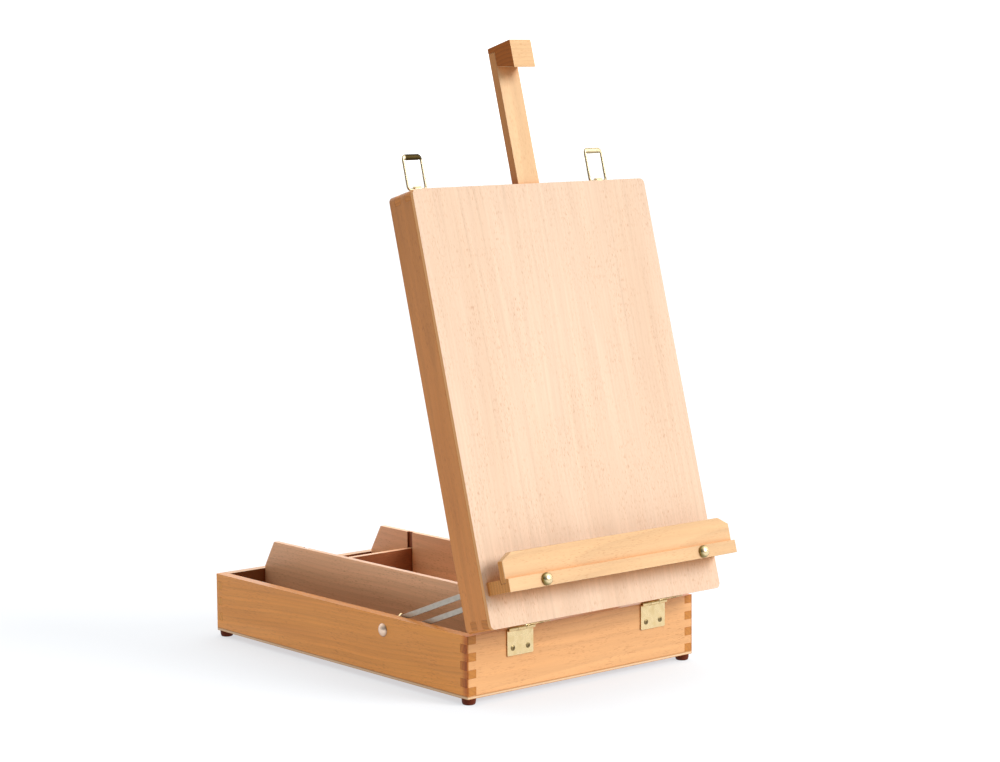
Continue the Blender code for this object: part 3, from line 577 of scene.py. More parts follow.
def metal_material(name, bright, dull, rough, brushed=(400, 400, 400), dark_top_reflection=None, rim=None):
    """Plated metal with soft tarnish and fine scratches, and painted shade where it sees little of
    its surroundings. dark_top_reflection is a painted dark reflection above a height of the piece,
    and rim a painted dark reflection outside a radius about its axis."""
    material = bpy.data.materials.new(name)
    t = Tree(material)
    at = t.position()
    cloud = t.noise(at, 170, 4, 0.6)
    grit = t.noise(at, 2600, 2)
    lines = t.noise(t.stretched(at, brushed), 6, 2)
    colour = t.mix(t.span(cloud, 0.42, 0.7, 0, 0.5), rgb(*bright), rgb(*dull))
    # Painted reflection: above a height the piece is painted near black, for the dark surroundings
    # its bar mirrors.
    if dark_top_reflection:
        start, dark = dark_top_reflection
        parts = t.axes(at)
        above = t.span(parts["Z"], start, start + 0.002)
        colour = t.mix(t.times(above, t.span(parts["X"], -0.0088, -0.0070)), colour, rgb(*dark))
    # Painted reflection: outside the radius the dome is painted dark, for the dark surroundings its
    # edge mirrors.
    if rim:
        start, dark = rim
        flat = {"Vector": t.stretched(at, (1, 1, 0))}
        radius = t.node("ShaderNodeVectorMath", flat, operation="LENGTH").outputs["Value"]
        colour = t.mix(t.span(radius, start, start + 0.0016), colour, rgb(*dark))
    # Painted shade: the metal is tinted darker where it sees little of its surroundings, as in a
    # hinge's knuckle.
    nook_shade = t.span(t.openness(METAL_NOOK_SHADE_REACH), 0.62, 0.18)
    t.feed(t.shader.inputs["Base Color"], t.tinted(nook_shade, colour, METAL_NOOK_SHADE))
    t.shader.inputs["Metallic"].default_value = 1.0
    gloss = t.plus(rough, t.times(t.span(cloud, 0.35, 0.75), 0.12))
    t.feed(t.shader.inputs["Roughness"], t.plus(gloss, t.times(lines, 0.06)))
    height = t.plus(t.times(lines, 0.7), t.times(grit, 0.3))
    t.feed(t.shader.inputs["Normal"], t.bump(height, 0.06, 0.00004))
    return material


def soft_material(name, light, dark, rough, scale, depth, leather=False, shine=0.5):
    """Moulded rubber or thread, or leather with its cells."""
    material = bpy.data.materials.new(name)
    t = Tree(material)
    at = t.position()
    cloud = t.noise(at, 90, 3)
    if leather:
        inputs = {"Vector": at, "Scale": scale}
        cells = t.node("ShaderNodeTexVoronoi", inputs, feature="DISTANCE_TO_EDGE")
        height = t.span(cells.outputs["Distance"], 0.0, 0.25)
    else:
        height = t.noise(at, scale, 3)
    colour = t.mix(t.span(cloud, 0.3, 0.7), rgb(*light), rgb(*dark))
    # Painted shade: the colour darkens in the bump's hollows.
    hollow_shade = t.times(t.span(height, 0.35, 0.0), 0.5)
    colour = t.mix(hollow_shade, colour, rgb(*[c * 0.4 for c in dark]))
    t.feed(t.shader.inputs["Base Color"], colour)
    t.feed(t.shader.inputs["Roughness"], t.plus(rough, t.times(cloud, 0.12)))
    t.feed(t.shader.inputs["Normal"], t.bump(height, 0.35, depth))
    t.shader.inputs["Specular IOR Level"].default_value = shine
    return material


# Painted shade: the side walls' beech is a warmer, more saturated copy of the front's, for the
# shade their outer faces stand in.
WALL = wood_material(
    "beech_wall", (0.75, 0.297, 0.051), (0.60, 0.216, 0.032), (0.34, 0.105, 0.015),
    (0.25, 0.098, 0.014), flecks=0.4, corner=(False, 1.0, 4.0), tilt=0.05, bands=0.42)
FRONT = wood_material(
    "beech_front", (0.64, 0.342, 0.148), (0.56, 0.280, 0.110), (0.34, 0.14, 0.04),
    (0.46, 0.145, 0.018), corner=(True, 4.0, 1.0))
BACK = wood_material(
    "beech_back", (0.64, 0.342, 0.148), (0.56, 0.280, 0.110), (0.34, 0.14, 0.04),
    (0.64, 0.262, 0.050))
RAIL = wood_material(
    "beech_rail", (0.545, 0.208, 0.045), (0.465, 0.166, 0.031), (0.27, 0.080, 0.013),
    (0.42, 0.150, 0.026), far_end_shade=0.9)
INSIDE = wood_material(
    "beech_inner", (0.84, 0.468, 0.248), (0.725, 0.378, 0.192), (0.40, 0.165, 0.07),
    (0.48, 0.21, 0.09), crease_shade=(0.75, 0.55, 0.40))
LEDGE = wood_material(
    "beech_pale", (0.63, 0.405, 0.215), (0.58, 0.354, 0.176), (0.42, 0.195, 0.075),
    (0.53, 0.225, 0.058), rough=0.50, shine=0.22, coat=0.04)
# The mast's narrow long faces get a painted shade, darker than its front.
MAST = wood_material(
    "beech_mast", (0.61, 0.385, 0.204), (0.56, 0.340, 0.166), (0.42, 0.19, 0.07),
    (0.31, 0.095, 0.022), side_shade=(0.72, 0.48, 0.26), rough=0.50, shine=0.22, coat=0.04)
HEAD = wood_material(
    "beech_head", (0.60, 0.375, 0.190), (0.56, 0.330, 0.157), (0.40, 0.17, 0.05),
    (0.30, 0.084, 0.010), rough=0.50, shine=0.15, coat=0.0)
FACE = wood_material(
    "beech_face", (0.60, 0.432, 0.312), (0.57, 0.398, 0.278), (0.40, 0.20, 0.11),
    (0.64, 0.33, 0.14), flecks=0.6, rings=0.25, layers=(0.5, (0.62, 0.30, 0.11)), far_end_shade=0.15,
    crease_shade=(1.1, 0.68, 0.24), rough=0.62, shine=0.15, coat=0.0)
PLY = wood_material(
    "ply_bottom", (0.62, 0.42, 0.26), (0.54, 0.35, 0.20), (0.35, 0.18, 0.09),
    (0.62, 0.46, 0.30), layers=(0.42, (0.48, 0.24, 0.09)))
BRASS = metal_material("brass_plate", (0.82, 0.64, 0.36), (0.62, 0.44, 0.19), 0.22)
# The knob's dark rim is a painted dark reflection.
KNOB = metal_material("brass_knob", (0.84, 0.67, 0.40), (0.66, 0.48, 0.22), 0.2,
                      rim=(0.0036, (0.24, 0.19, 0.07)))
BAIL = metal_material("brass_bail", (0.40, 0.335, 0.21), (0.28, 0.225, 0.12), 0.34)
# The left bail's top bar carries a painted dark reflection.
BAIL_DARK_REFLECTION = metal_material("brass_bail_dark_bar", (0.46, 0.38, 0.25), (0.32, 0.25, 0.14), 0.34,
                       dark_top_reflection=(0.0262, (0.030, 0.020, 0.006)))
BRONZE = metal_material("brass_dark", (0.26, 0.19, 0.09), (0.14, 0.095, 0.04), 0.32)
# The bolt head's dark rim is a painted dark reflection.
BOLT = metal_material("bolt_head", (0.84, 0.64, 0.50), (0.62, 0.43, 0.30), 0.26,
                      rim=(0.0050, (0.36, 0.20, 0.11)))
ALLOY = metal_material("aluminium_bar", (0.44, 0.405, 0.35), (0.35, 0.315, 0.265), 0.38,
                       brushed=(30, 900, 900))
ZINC = metal_material("zinc", (0.66, 0.67, 0.66), (0.45, 0.46, 0.46), 0.34)
RUBBER = soft_material("foot_rubber", (0.14, 0.024, 0.005), (0.08, 0.012, 0.003), 0.42, 1400,
                       0.0001, shine=0.12)
HIDE = soft_material("handle_hide", (0.16, 0.062, 0.026), (0.085, 0.032, 0.014), 0.46, 620,
                     0.00025, leather=True)
THREAD = soft_material("handle_thread", (0.62, 0.46, 0.26), (0.42, 0.30, 0.16), 0.7, 3000, 0.0001)


# ---------------------------------------------------------------- the box

BOLT_Y = 0.124
BOLT_Z = 0.0443
BOX_FINGERS = 7
LID_FINGERS = 4


def fingers(low, high, number, first):
    """Height ranges cut away, every second finger from the given one."""
    pitch = (high - low) / number
    cuts = []
    for i in range(first, number, 2):
        bottom = low + i * pitch - (PAST if i == 0 else NICK)
        top = low + (i + 1) * pitch + (PAST if i == number - 1 else NICK)
        cuts.append((bottom, top))
    return cuts


def jointed_frame(half, low, high, number, corner):
    """Meshes of four finger jointed walls, trimmed to one outline with rounded corners."""
    meshes = {}
    wide = half + PAST

    def trimmed(body, cuts):
        outline = cuboid((-half, 0, low - PAST), (half, DEEP, high + PAST), (2,), corner, 6)
        return combine(combine(body, cuts), [outline], "INTERSECT")

    for side, sign in SIDES.items():
        x0, x1 = sorted((sign * wide, sign * (half - THICK)))
        cuts = []
        for bottom, top in fingers(low, high, number, 1):
            for y0, y1 in ((-2 * PAST, THICK + NICK), (DEEP - THICK - NICK, DEEP + 2 * PAST)):
                cuts.append(cuboid((x0 - PAST, y0, bottom), (x1 + PAST, y1, top)))
        meshes[side] = trimmed(cuboid((x0, -PAST, low), (x1, DEEP + PAST, high)), cuts)
    for end, y0, y1 in (("front", -PAST, THICK), ("back", DEEP - THICK, DEEP + PAST)):
        cuts = []
        for bottom, top in fingers(low, high, number, 0):
            for x0, x1 in ((-wide - PAST, -half + THICK + NICK),
                           (half - THICK - NICK, wide + PAST)):
                cuts.append(cuboid((x0, y0 - PAST, bottom), (x1, y1 + PAST, top)))
        meshes[end] = trimmed(cuboid((-wide, y0, low), (wide, y1, high)), cuts)
    return meshes


def box_body():
    walls = jointed_frame(WIDE, FLOOR + SEAM, RIM, BOX_FINGERS, 0.0010)
    for side, sign in SIDES.items():
        bore = rod(0.0027, (sign * 0.125, BOLT_Y, BOLT_Z), (sign * 0.145, BOLT_Y, BOLT_Z))

        # The side walls' inner faces get a painted shade.
        def inner_side(centre, normal, sign=sign):
            return normal.x * sign < -0.9 and abs(centre.y - DEEP / 2) < 0.18

        wood(f"side_wall_{side}", combine(walls[side], [bore]), BOX, "box", "beech", WALL, 1, 0,
             f"box_wall_{side}", 0.00025, 2, flip=sign > 0, cut_strength=0.62, shaded=inner_side)
    for end, sign, material in (("front", -1, FRONT), ("back", 1, BACK)):

        # The end walls' inner faces get a painted shade.
        def inner_end(centre, normal, sign=sign):
            return normal.y * sign < -0.9 and abs(centre.x) < 0.12

        wood(f"{end}_wall", walls[end], BOX, "box", "beech", material, 0, 1,
             f"box_wall_{end}", 0.00025, 2, shaded=inner_end)
    panel = cuboid((-WIDE, 0, 0), (WIDE, DEEP, FLOOR), (2,), 0.0010)
    wood("ply_bottom", panel, BOX, "box", "plywood", PLY, 1, 2, "bottom_panel", 0.0002, 2, ply=True)


def feet():
    recess = -0.0036
    outline = [(0, recess), (0.0023, recess), (0.0023, -0.0056), (0.0027, -FOOT_HIGH),
               (0.0049, -FOOT_HIGH), (0.0056, -0.0057), (0.0061, -0.0049), (0.0064, -0.0034),
               (0.0066, -0.0016), (0.0066, -0.0005), (0.0061, -0.0001), (0, -0.0001)]
    foot = lathe(outline, 40)
    screw = screw_mesh(0.0021, 0.0009)
    for end, y in (("front", 0.0070), ("back", DEEP - 0.0070)):
        for side, sign in SIDES.items():
            at = spot(BOX, (sign * 0.133, y, 0))
            place(f"foot_pad_{end}_{side}", foot, at, "box", RUBBER,
                  [f"foot_{end}_{side}"])
            down = spot(at, (0, 0, recess)) @ Matrix.Rotation(pi, 4, "X")
            place(f"foot_screw_{end}_{side}", screw, down, "box", ZINC)


def dividers():
    near = THICK + 0.0001
    far = DEEP - THICK - 0.0001
    low = FLOOR + 0.0001
    shoulder, top, slant = 0.0606, 0.0874, 0.0165
    groove_near, groove_far, margin = 0.3200, 0.3272, 0.0005

    # The dividers' groove faces get a painted shade.
    def in_groove(centre, normal):
        return groove_near - margin < centre.y < groove_far + margin

    loop = [(near, low), (far, low), (far, shoulder), (far - slant, top), (near + slant, top),
            (near, shoulder)]
    for side, x, inner in (("left", -0.087, -0.081), ("right", 0.049, 0.049)):
        groove = cuboid((inner - 0.0021, groove_near, low - PAST),
                        (inner + 0.0021, groove_far, 0.09))
        mesh = combine(prism(loop, x, x + 0.006, 0), [groove])
        wood(f"tall_divider_{side}", mesh, BOX, "box", "beech_inside", INSIDE, 1, 0,
             f"divider_{side}", 0.0005, 2, shaded=in_groove)
    mesh = cuboid((-0.083, 0.3205, low + 0.0012), (0.051, 0.3265, 0.0708))
    # The low divider's front face gets a painted shade.
    wood("low_divider", mesh, BOX, "box", "beech_inside", INSIDE, 0, 1, "cross_divider", 0.0005, 2,
         shaded=lambda centre, normal: normal.y < -0.9)


# ---------------------------------------------------------------- the lid

KNOB_MID = 0.002       # the ledge's middle, right of the lid's
KNOB_SPREAD = 0.097    # from there to each thumbscrew
KNOB_Y = 0.036
SHELF_TOP = 0.067
MAST_HALF = 0.013
MAST_LOW = 0.0228
GUIDE_Y = 0.36


def knob_spots():
    return [(side, KNOB_MID + sign * KNOB_SPREAD) for side, sign in SIDES.items()]


def lid_body():
    rails = jointed_frame(LID_WIDE, 0.0002, LID_HIGH, LID_FINGERS, LID_CORNER)
    slot = cuboid((-0.0133, DEEP - 0.02, 0.0225), (0.0133, DEEP + 0.01, 0.04))
    rails["back"] = combine(rails["back"], [slot])
    for rail, along, thick in (("left", 1, 0), ("right", 1, 0), ("front", 0, 1), ("back", 0, 1)):
        name = f"side_rail_{rail}" if rail in SIDES else f"{rail}_rail"
        wood(name, rails[rail], LID, "lid", "beech_lid", RAIL, along, thick, f"lid_rail_{rail}",
             0.0002, 2)
    board = cuboid((-LID_WIDE, 0, LID_HIGH + SEAM), (LID_WIDE, DEEP, BOARD_TOP), (2,), LID_CORNER,
                   8)
    board = combine(board, [rod(0.0040, (x, KNOB_Y, 0.03), (x, KNOB_Y, 0.04))
                            for side, x in knob_spots()])
    wood("easel_board", board, LID, "lid", "beech_board", FACE, 1, 2, "canvas_board", 0.0003, 2,
         ply=True)


def ledge():
    low_x, high_x = -0.138, 0.142
    shelf = cuboid((low_x, 0.030, BOARD_TOP + 0.0002), (high_x, 0.042, SHELF_TOP))
    groove = cuboid((low_x - PAST, 0.038, 0.0554), (high_x + PAST, 0.05, 0.0626))
    bores = [rod(0.0026, (x, KNOB_Y, 0.03), (x, KNOB_Y, 0.07)) for side, x in knob_spots()]
    shelf = combine(shelf, [groove, *bores])
    wood("shelf_bar", shelf, LID, "lid", "beech_ledge", LEDGE, 0, 2, "ledge_shelf", 0.0007, 3)
    seat, shoulder, top, chamfer = 0.0381, 0.058, 0.065, 0.0120
    loop = [(low_x, seat), (high_x, seat), (high_x, shoulder), (high_x - chamfer, top),
            (low_x + chamfer, top), (low_x, shoulder)]
    lip = prism(loop, 0.0555, 0.0625, 2)
    wood("shelf_lip", lip, LID, "lid", "beech_ledge", LEDGE, 0, 2, "ledge_lip", 0.0010, 3)
    steps = 10
    angles = [pi / 2 * i / steps for i in range(steps + 1)]
    crown = [(0.00560 * sin(a), 0.0012 + 0.0038 * cos(a)) for a in angles]
    shank, tip = 0.0023, -0.034
    knob = lathe(crown + [(0.00575, 0.0009), (0.00575, 0.0004), (0.0055, 0.00015),
                          (shank, 0.00015), (shank, tip), (0, tip)], 40)
    for side, x in knob_spots():
        place(f"thumb_knob_{side}", knob, spot(LID, (x, KNOB_Y, SHELF_TOP)),
              f"ledge_thumbscrew_{side}", KNOB, [f"ledge_thumbscrew_{side}"])


def mast():
    foot, shoulder, end = 0.147, 0.5271, 0.5323
    stick = cuboid((-MAST_HALF, foot, MAST_LOW), (MAST_HALF, 0.527, 0.0318))
    wood("mast_bar", stick, LID, "mast", "beech_ledge", MAST, 1, 2, "mast", 0.0006, 3)
    loop = [(shoulder, MAST_LOW), (end, MAST_LOW), (end, 0.056), (0.5058, 0.056),
            (0.5130, 0.0320), (shoulder, 0.0320)]
    head = prism(loop, -0.0131, 0.0131, 0)
    wood("head_block", head, LID, "mast", "beech_ledge", HEAD, 0, 1, "mast_head", 0.0006, 3)
    guide = cuboid((-0.025, 0.345, 0.0145), (0.025, 0.375, 0.0320), (1,), 0.003, 4)
    channel = cuboid((-0.0133, 0.34, 0.0225), (0.0133, 0.38, 0.04))
    bore = rod(0.0028, (0, GUIDE_Y, 0.01), (0, GUIDE_Y, 0.03))
    wood("guide_block", combine(guide, [channel, bore]), LID, "lid", "beech_inside", INSIDE, 0, 2,
         "mast_guide", 0.0005, 2)
    at = spot(LID, (0, GUIDE_Y, 0.0140)) @ Matrix.Rotation(pi, 4, "X")
    place("clamp_knob", knurled_knob(), at, "mast_clamp_knob", BRASS,
          ["mast_clamp_knob"])


def knurled_knob():
    """The clamp knob on its shank. Its rim is notched, with two of every four points pulled in."""
    points = 120
    notch = 0.00035
    levels = [(0.0070, 0.0085, False), (0.0083, 0.0082, False), (0.0090, 0.0074, True),
              (0.0090, 0.0014, True), (0.0083, 0.0004, False), (0.0034, 0.0001, False),
              (0.0025, 0.0, False), (0.0025, -0.0083, False)]
    bm = bmesh.new()
    rings = []
    for radius, height, notched in levels:
        ring = []
        for i in range(points):
            reach = radius - notch if notched and i % 4 in (0, 1) else radius
            a = 2 * pi * i / points
            ring.append(bm.verts.new((reach * cos(a), reach * sin(a), height)))
        rings.append(ring)
    bridge(bm, rings)
    return smoothed(outward(bm, "knurl"), 35)


# ---------------------------------------------------------------- metal fittings

HINGE_HALF = 0.0155
KNUCKLE = HINGE_HALF / 3
KNUCKLE_RADIUS = 0.0021
LATCH_SHIFT = -0.0025  # both latches stand a little left of where they would mirror each other
LATCH_OUT = 0.005      # from the lid's end to the bail's axis
LATCH_Z = 0.008


def screw_mesh(radius, height):
    """A domed screw head on a short shank, with a cross in it. It points along +Z."""
    shank = radius * 0.45
    head = lathe(dome(radius, height, 0.0002, 7)
                 + [(radius, 0.0), (shank, 0.0), (shank, -0.0012), (0, -0.0012)], 28)
    reach = radius * 0.62
    half = radius * 0.13
    deep = 0.0002 + height - max(0.0006, height * 0.8)
    bars = [cuboid((-reach, -half, deep), (reach, half, 0.005)),
            cuboid((-half, -reach, deep), (half, reach, 0.005))]
    return smoothed(combine(head, bars), 35)


def leaf_mesh(x, low, high, rim, curls, gaps, holes):
    """A hinge leaf from low to high, with its knuckles on the edge that lies at the rim.

    curls and gaps are ranges of x, where it has a knuckle or makes way for the other leaf's."""
    plate = cuboid((x - HINGE_HALF, -0.0013, low), (x + HINGE_HALF, -0.0003, high), (1,), 0.0012,
                   4)
    room = 0.0027
    below, above = (rim - room, rim + PAST) if high == rim else (rim - PAST, rim + room)
    plate = combine(plate, [cuboid((x0, -0.003, below), (x1, 0.001, above)) for x0, x1 in gaps])
    curls = [rod(KNUCKLE_RADIUS, (x0, -HINGE_OUT, rim), (x1, -HINGE_OUT, rim)) for x0, x1 in curls]
    bore = rod(0.00112, (x - 0.02, -HINGE_OUT, rim), (x + 0.02, -HINGE_OUT, rim), 20)
    holes = [rod(0.0018, (hole, -0.004, 0.040), (hole, 0, 0.040)) for hole in holes]
    return bevelled(combine(combine(plate, curls, "UNION"), [bore, *holes]), 0.00018, 2)


def hinges():
    head = screw_mesh(0.0025, 0.0005)
    spins = Random(5)
    half, inner, outer = HINGE_HALF, KNUCKLE - 0.0001, KNUCKLE + 0.0002
    for side, x in (("left", -0.0785), ("right", 0.0870)):
        screws = [("a", x - 0.009), ("b", x + 0.009)]
        leaf = leaf_mesh(x, RIM - 0.025, RIM, RIM, [(x - half, x - outer), (x + outer, x + half)],
                         [(x - outer, x + outer)], [screw_x for tag, screw_x in screws])
        place(f"box_leaf_{side}", leaf, BOX, "box", BRASS, [f"hinge_box_leaf_{side}"])
        leaf = leaf_mesh(x, 0, 0.025, 0, [(x - inner, x + inner)],
                         [(x - half - PAST, x - inner), (x + inner, x + half + PAST)], [])
        place(f"lid_leaf_{side}", leaf, LID, "lid", BRASS, [f"hinge_lid_leaf_{side}"])
        pin = lathe([(0, 0.01545), (0.0007, 0.0154), (0.0010, 0.0150), (0.0010, -0.0150),
                     (0.0007, -0.0154), (0, -0.01545)], 24)
        at = spot(BOX, (x, -HINGE_OUT, RIM)) @ Matrix.Rotation(pi / 2, 4, "Y")
        place(f"pin_{side}", pin, at, "box", BRONZE, [f"hinge_pin_{side}"])
        for tag, screw_x in screws:
            spin = spins.uniform(0, pi)
            at = spot(BOX, (screw_x, -0.00135, 0.040), (0, -1, 0), spin)
            place(f"box_screw_{side}_{tag}", head, at, "box", BRONZE,
                  [f"hinge_screw_{side}_{tag}"])
            at = spot(LID, (screw_x, -0.0013, 0.018), (0, -1, 0), spin + 1)
            place(f"lid_screw_{side}_{tag}", head, at, "lid", BRONZE)


def stays():
    slope = radians(21)
    world = Matrix()
    low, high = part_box("stay_rivet_left")
    stud_y = (low.y + high.y) / 2
    stud_z = (low.z + high.z) / 2
    slot_near, slot_far = 0.0195, 0.148844
    outer = arc((slot_far + 0.004, 0), 0.0085, -90, 90, 14) + arc((0, 0), 0.0085, 90, 270, 14)
    inner = arc((slot_far, 0), 0.0035, -90, 90, 10) + arc((slot_near, 0), 0.0035, 90, 270, 10)
    for side, sign in SIDES.items():
        wall = sign * (WIDE - THICK)
        x0, x1 = sorted((wall - sign * 0.0008, wall - sign * 0.0028))
        bar = prism(outer, x0, x1, 0)
        slot = prism(inner, x0 - PAST, x1 + PAST, 0)
        hole = rod(0.0026, (x0 - PAST, 0, 0), (x1 + PAST, 0, 0))
        bar = bevelled(combine(bar, [slot, hole]), 0.00022, 2)
        at = spot(world, (0, stud_y, stud_z)) @ Matrix.Rotation(-slope, 4, "X")
        place(f"stay_bar_{side}", bar, at, f"stay_{side}", ALLOY, [f"stay_{side}"])
        rivet = lathe(dome(0.0048, 0.0014, 0.0001, 7)
                      + [(0.0048, 0.0), (0.0023, 0.0), (0.0023, -0.0019), (0, -0.0019)], 32)
        at = spot(world, (wall - sign * 0.0028, stud_y, stud_z), (-sign, 0, 0))
        place(f"rivet_{side}", rivet, at, f"stay_{side}", BRASS, [f"stay_rivet_{side}"])
        low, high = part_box(f"stay_stud_{side}")
        long = high.x - low.x
        stud = lathe([(0, long), (0.0041, long), (0.0045, long - 0.0003), (0.0045, 0.0003),
                      (0.0041, 0), (0, 0)], 32)
        at = spot(world, (low.x if sign > 0 else high.x, stud_y, stud_z), (sign, 0, 0))
        place(f"stud_{side}", stud, at, "lid", BRASS, [f"stay_stud_{side}"])
        bolt = lathe(dome(0.0064, 0.0029, 0.0003, 9)
                     + [(0.0065, 0.0001), (0.0027, 0.0001), (0.0025, -0.0004), (0.0025, -0.0262),
                        (0.0022, -0.0265), (0, -0.0265)], 40)
        at = spot(BOX, (sign * WIDE, BOLT_Y, BOLT_Z), (sign, 0, 0))
        place(f"bolt_{side}", bolt, at, "box", BOLT, [f"stay_bolt_{side}"])
        round_off(f"wing_nut_{side}", 0.0004, BRASS)


def bail_mesh():
    """A wire loop standing along +Z, whose far bar is flattened and wide."""
    wire, bar = 0.0012, 0.0029
    half = 0.0115 - wire
    top = 0.033 - 0.0027
    bend = 0.0030
    corners = [((half - bend, bend), -90, 0), ((half - bend, top - bend), 0, 90),
               ((-half + bend, top - bend), 90, 180), ((-half + bend, bend), 180, 270)]
    path = []
    sections = []
    for index, (centre, start, stop) in enumerate(corners):
        for k, (x, z) in enumerate(arc(centre, bend, start, stop, 8)):
            path.append((x, 0, z))
            share = eased({1: k / 8, 2: 1 - k / 8}.get(index, 0.0))
            sections.append((wire + share * (bar - wire), wire - share * 0.00015))
    return sweep(path, lambda i: sections[i], closed=True)


def latches():
    head = screw_mesh(0.0022, 0.0007)
    spins = Random(9)
    axis_y = DEEP + LATCH_OUT
    face = DEEP + 0.0003
    for side, sign in SIDES.items():
        x = sign * 0.111 + LATCH_SHIFT
        # The third turn belongs to the base's lower screw, which the lever hides.
        turns = [spins.uniform(0, pi) for _ in range(4)]
        plate = cuboid((x - 0.012, face, 0.003), (x + 0.012, face + 0.001, 0.027), (1,), 0.002, 5)
        lug = cuboid((x - 0.0035, face + 0.0005, 0.0053), (x + 0.0035, axis_y, 0.0107))
        barrel = rod(0.0029, (x - 0.0036, axis_y, LATCH_Z), (x + 0.0036, axis_y, LATCH_Z))
        bore = rod(0.0013, (x - 0.007, axis_y, LATCH_Z), (x + 0.007, axis_y, LATCH_Z))
        plate = bevelled(combine(combine(plate, [lug, barrel], "UNION"), [bore]), 0.0002, 2)
        place(f"bail_plate_{side}", plate, LID, "lid", BRASS, [f"latch_plate_{side}"])
        for tag, screw_x, turn in (("a", x - 0.0075, turns[0]), ("b", x + 0.0075, turns[1])):
            at = spot(LID, (screw_x, face + 0.001, 0.021), (0, 1, 0), turn)
            place(f"bail_screw_{side}_{tag}", head, at, "lid", BRONZE)
        at = spot(LID, (x, axis_y, LATCH_Z)) @ Matrix.Rotation(-pi / 2, 4, "X")
        place(f"bail_{side}", bail_mesh(), at, f"latch_bail_{side}",
              BAIL_DARK_REFLECTION if side == "left" else BAIL, [f"latch_bail_{side}"])
        round_off(f"latch_base_{side}", 0.0002, BRASS)
        round_off(f"latch_lever_{side}", 0.00018, BRASS)
        at = spot(BOX, (x, DEEP + 0.0011, 0.0478), (0, 1, 0), turns[3])
        place(f"base_screw_{side}_b", head, at, "box", BRONZE)


# ---------------------------------------------------------------- the handle

EYE_X = 0.050
HANDLE_Z = 0.042


def handle_path():
    """Points along the handle's bow from eye to eye, about evenly spaced, in its own frame."""
    bend, drop, turn_x = 0.014, -0.030, 0.036
    half = [Vector((-EYE_X, 0, z)) for z in (-0.0020, -0.0060, -0.0100, -0.0130)]
    half += [Vector((x, 0, z)) for x, z in arc((-turn_x, drop + bend), bend, 180, 270, 12)]
    half += [Vector((-turn_x + 0.004 * i, 0, drop)) for i in range(1, 9)]
    return half + [Vector((0, 0, drop))] + [Vector((-p.x, 0, p.z)) for p in reversed(half)]


def handle_meshes():
    """The padded leather bow with an eye at each end, and two rows of stitches on its outside."""
    path = handle_path()
    out = Vector((0, 1, 0))

    def size(i):
        swell = eased(min(1.0, min(i, len(path) - 1 - i) / 16))
        return 0.0035 + 0.0007 * swell, 0.0034 + 0.0008 * swell

    def stitch_size(k):
        return (0.00036, 0.00036) if k == 1 else (0.00022, 0.00022)

    eyes = [rod(0.0046, (x - 0.0043, 0, 0), (x + 0.0043, 0, 0), 36) for x in (-EYE_X, EYE_X)]
    holes = [rod(0.0021, (x - 0.0060, 0, 0), (x + 0.0060, 0, 0)) for x in (-EYE_X, EYE_X)]
    bow = smoothed(combine(combine(sweep(path, size), eyes, "UNION"), holes), 40)
    stitches = []
    for i in range(5, len(path) - 6):
        step = path[i + 1] - path[i]
        run = step.normalized()
        side = run.cross(out)
        flat, thick = size(i)
        for row in (radians(48), radians(132)):
            seat = (path[i] + path[i + 1]) / 2 + side * flat * cos(row) + out * thick * sin(row)
            reach = run * (step.length * 0.30)
            stitches.append(sweep([seat - reach, seat, seat + reach], stitch_size))
    return bow, joined(stitches)


def handle():
    head = screw_mesh(0.0022, 0.0008)
    spins = Random(3)
    for side, sign in SIDES.items():
        round_off(f"handle_bracket_{side}", 0.0003, BRASS)
        for tag, z in (("a", HANDLE_Z - 0.0072), ("b", HANDLE_Z + 0.0072)):
            at = spot(BOX, (sign * 0.0475, DEEP + 0.0014, z), (0, 1, 0), spins.uniform(0, pi))
            place(f"bracket_screw_{side}_{tag}", head, at, "box", BRONZE)
    bow, stitches = handle_meshes()
    at = spot(BOX, (0, DEEP + 0.0065, HANDLE_Z))
    place("leather_handle", bow, at, "carry_handle", HIDE, ["carry_handle"])
    place("handle_stitches", stitches, at, "carry_handle", THREAD)


box_body()
feet()
dividers()
lid_body()
ledge()
mast()
hinges()
stays()
latches()
handle()
for side in SIDES:
    round_off(f"ledge_nut_{side}", 0.0002, ZINC)


# ---------------------------------------------------------------- stage, light and camera

FLOOR_GLOW = 0.60
SKY_LOW = 0.26
SKY_HIGH = 1.75
SKY_BRIGHTEST = (0.503, 0.503, 0.704)
KEY_FROM = (0.42, -0.88, 0.52)
KEY_POWER = 3.2
KEY_ANGLE = radians(28)
CAMERA_AT = (-1.5851, -1.9457, 0.5685)
CAMERA_LENS = 93.85
CAMERA_YAW = radians(40.0)
CAMERA_PITCH = radians(6.85)
CAMERA_ROLL = radians(0.52)


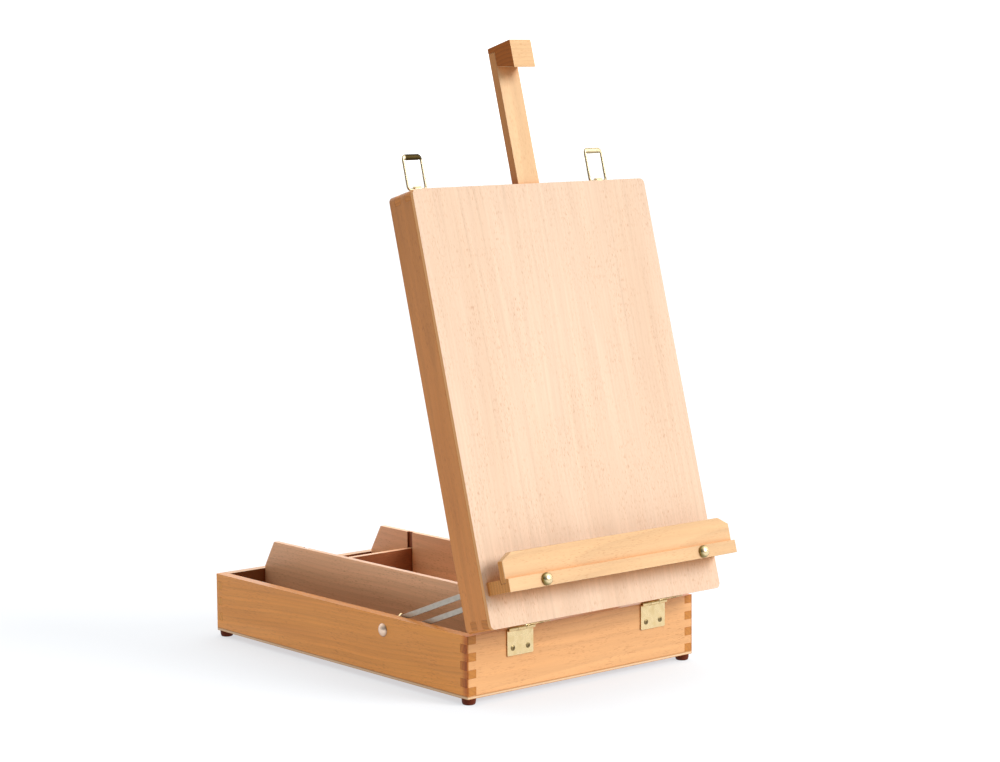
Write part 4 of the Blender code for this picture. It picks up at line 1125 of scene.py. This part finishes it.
def studio():
    """A pale floor, a sky that is brighter on one side, and one soft sun."""
    floor = bpy.data.objects.new("floor", cuboid((-9, -9, -0.02), (9, 9, 0)))
    bpy.context.scene.collection.objects.link(floor)
    material = bpy.data.materials.new("pale_floor")
    inputs = Tree(material).shader.inputs
    inputs["Base Color"].default_value = rgb(0.31, 0.31, 0.312)
    inputs["Roughness"].default_value = 0.9
    inputs["Specular IOR Level"].default_value = 0.0
    inputs["Emission Color"].default_value = rgb(0.965, 1, 1.035)
    inputs["Emission Strength"].default_value = FLOOR_GLOW
    floor.data.materials.append(material)

    world = bpy.data.worlds.new("studio")
    world.use_nodes = True
    tree = world.node_tree
    toward = tree.nodes.new("ShaderNodeVectorMath")
    toward.operation = "DOT_PRODUCT"
    toward.inputs[1].default_value = SKY_BRIGHTEST
    direction = tree.nodes.new("ShaderNodeTexCoord").outputs["Generated"]
    tree.links.new(direction, toward.inputs[0])
    ramp = tree.nodes.new("ShaderNodeMapRange")
    ramp.interpolation_type = "SMOOTHSTEP"
    ramp.inputs["From Min"].default_value = -0.3
    ramp.inputs["From Max"].default_value = 1.0
    ramp.inputs["To Min"].default_value = SKY_LOW
    ramp.inputs["To Max"].default_value = SKY_HIGH
    tree.links.new(toward.outputs["Value"], ramp.inputs["Value"])
    sky = tree.nodes["Background"]
    sky.inputs["Color"].default_value = rgb(1, 1, 1)
    tree.links.new(ramp.outputs["Result"], sky.inputs["Strength"])
    bpy.context.scene.world = world

    lamp = bpy.data.lights.new("key", "SUN")
    lamp.energy = KEY_POWER
    lamp.angle = KEY_ANGLE
    key = bpy.data.objects.new("key", lamp)
    key.rotation_euler = Vector(KEY_FROM).to_track_quat("Z", "Y").to_euler()
    bpy.context.scene.collection.objects.link(key)
    bpy.context.scene.view_settings.view_transform = "Standard"


def camera():
    look = Vector((sin(CAMERA_YAW) * cos(CAMERA_PITCH), cos(CAMERA_YAW) * cos(CAMERA_PITCH),
                   -sin(CAMERA_PITCH)))
    right = Vector((cos(CAMERA_YAW), -sin(CAMERA_YAW), 0))
    down = look.cross(right)
    across = right * cos(CAMERA_ROLL) + down * sin(CAMERA_ROLL)
    up = right * sin(CAMERA_ROLL) - down * cos(CAMERA_ROLL)
    data = bpy.data.cameras.new("camera")
    data.sensor_width = 36.0
    data.lens = CAMERA_LENS
    data.clip_end = 60.0
    seen = bpy.data.objects.new("camera", data)
    turn = Matrix((across, up, -look)).transposed().to_4x4()
    seen.matrix_world = Matrix.Translation(CAMERA_AT) @ turn
    bpy.context.scene.collection.objects.link(seen)
    bpy.context.scene.camera = seen


studio()
camera()
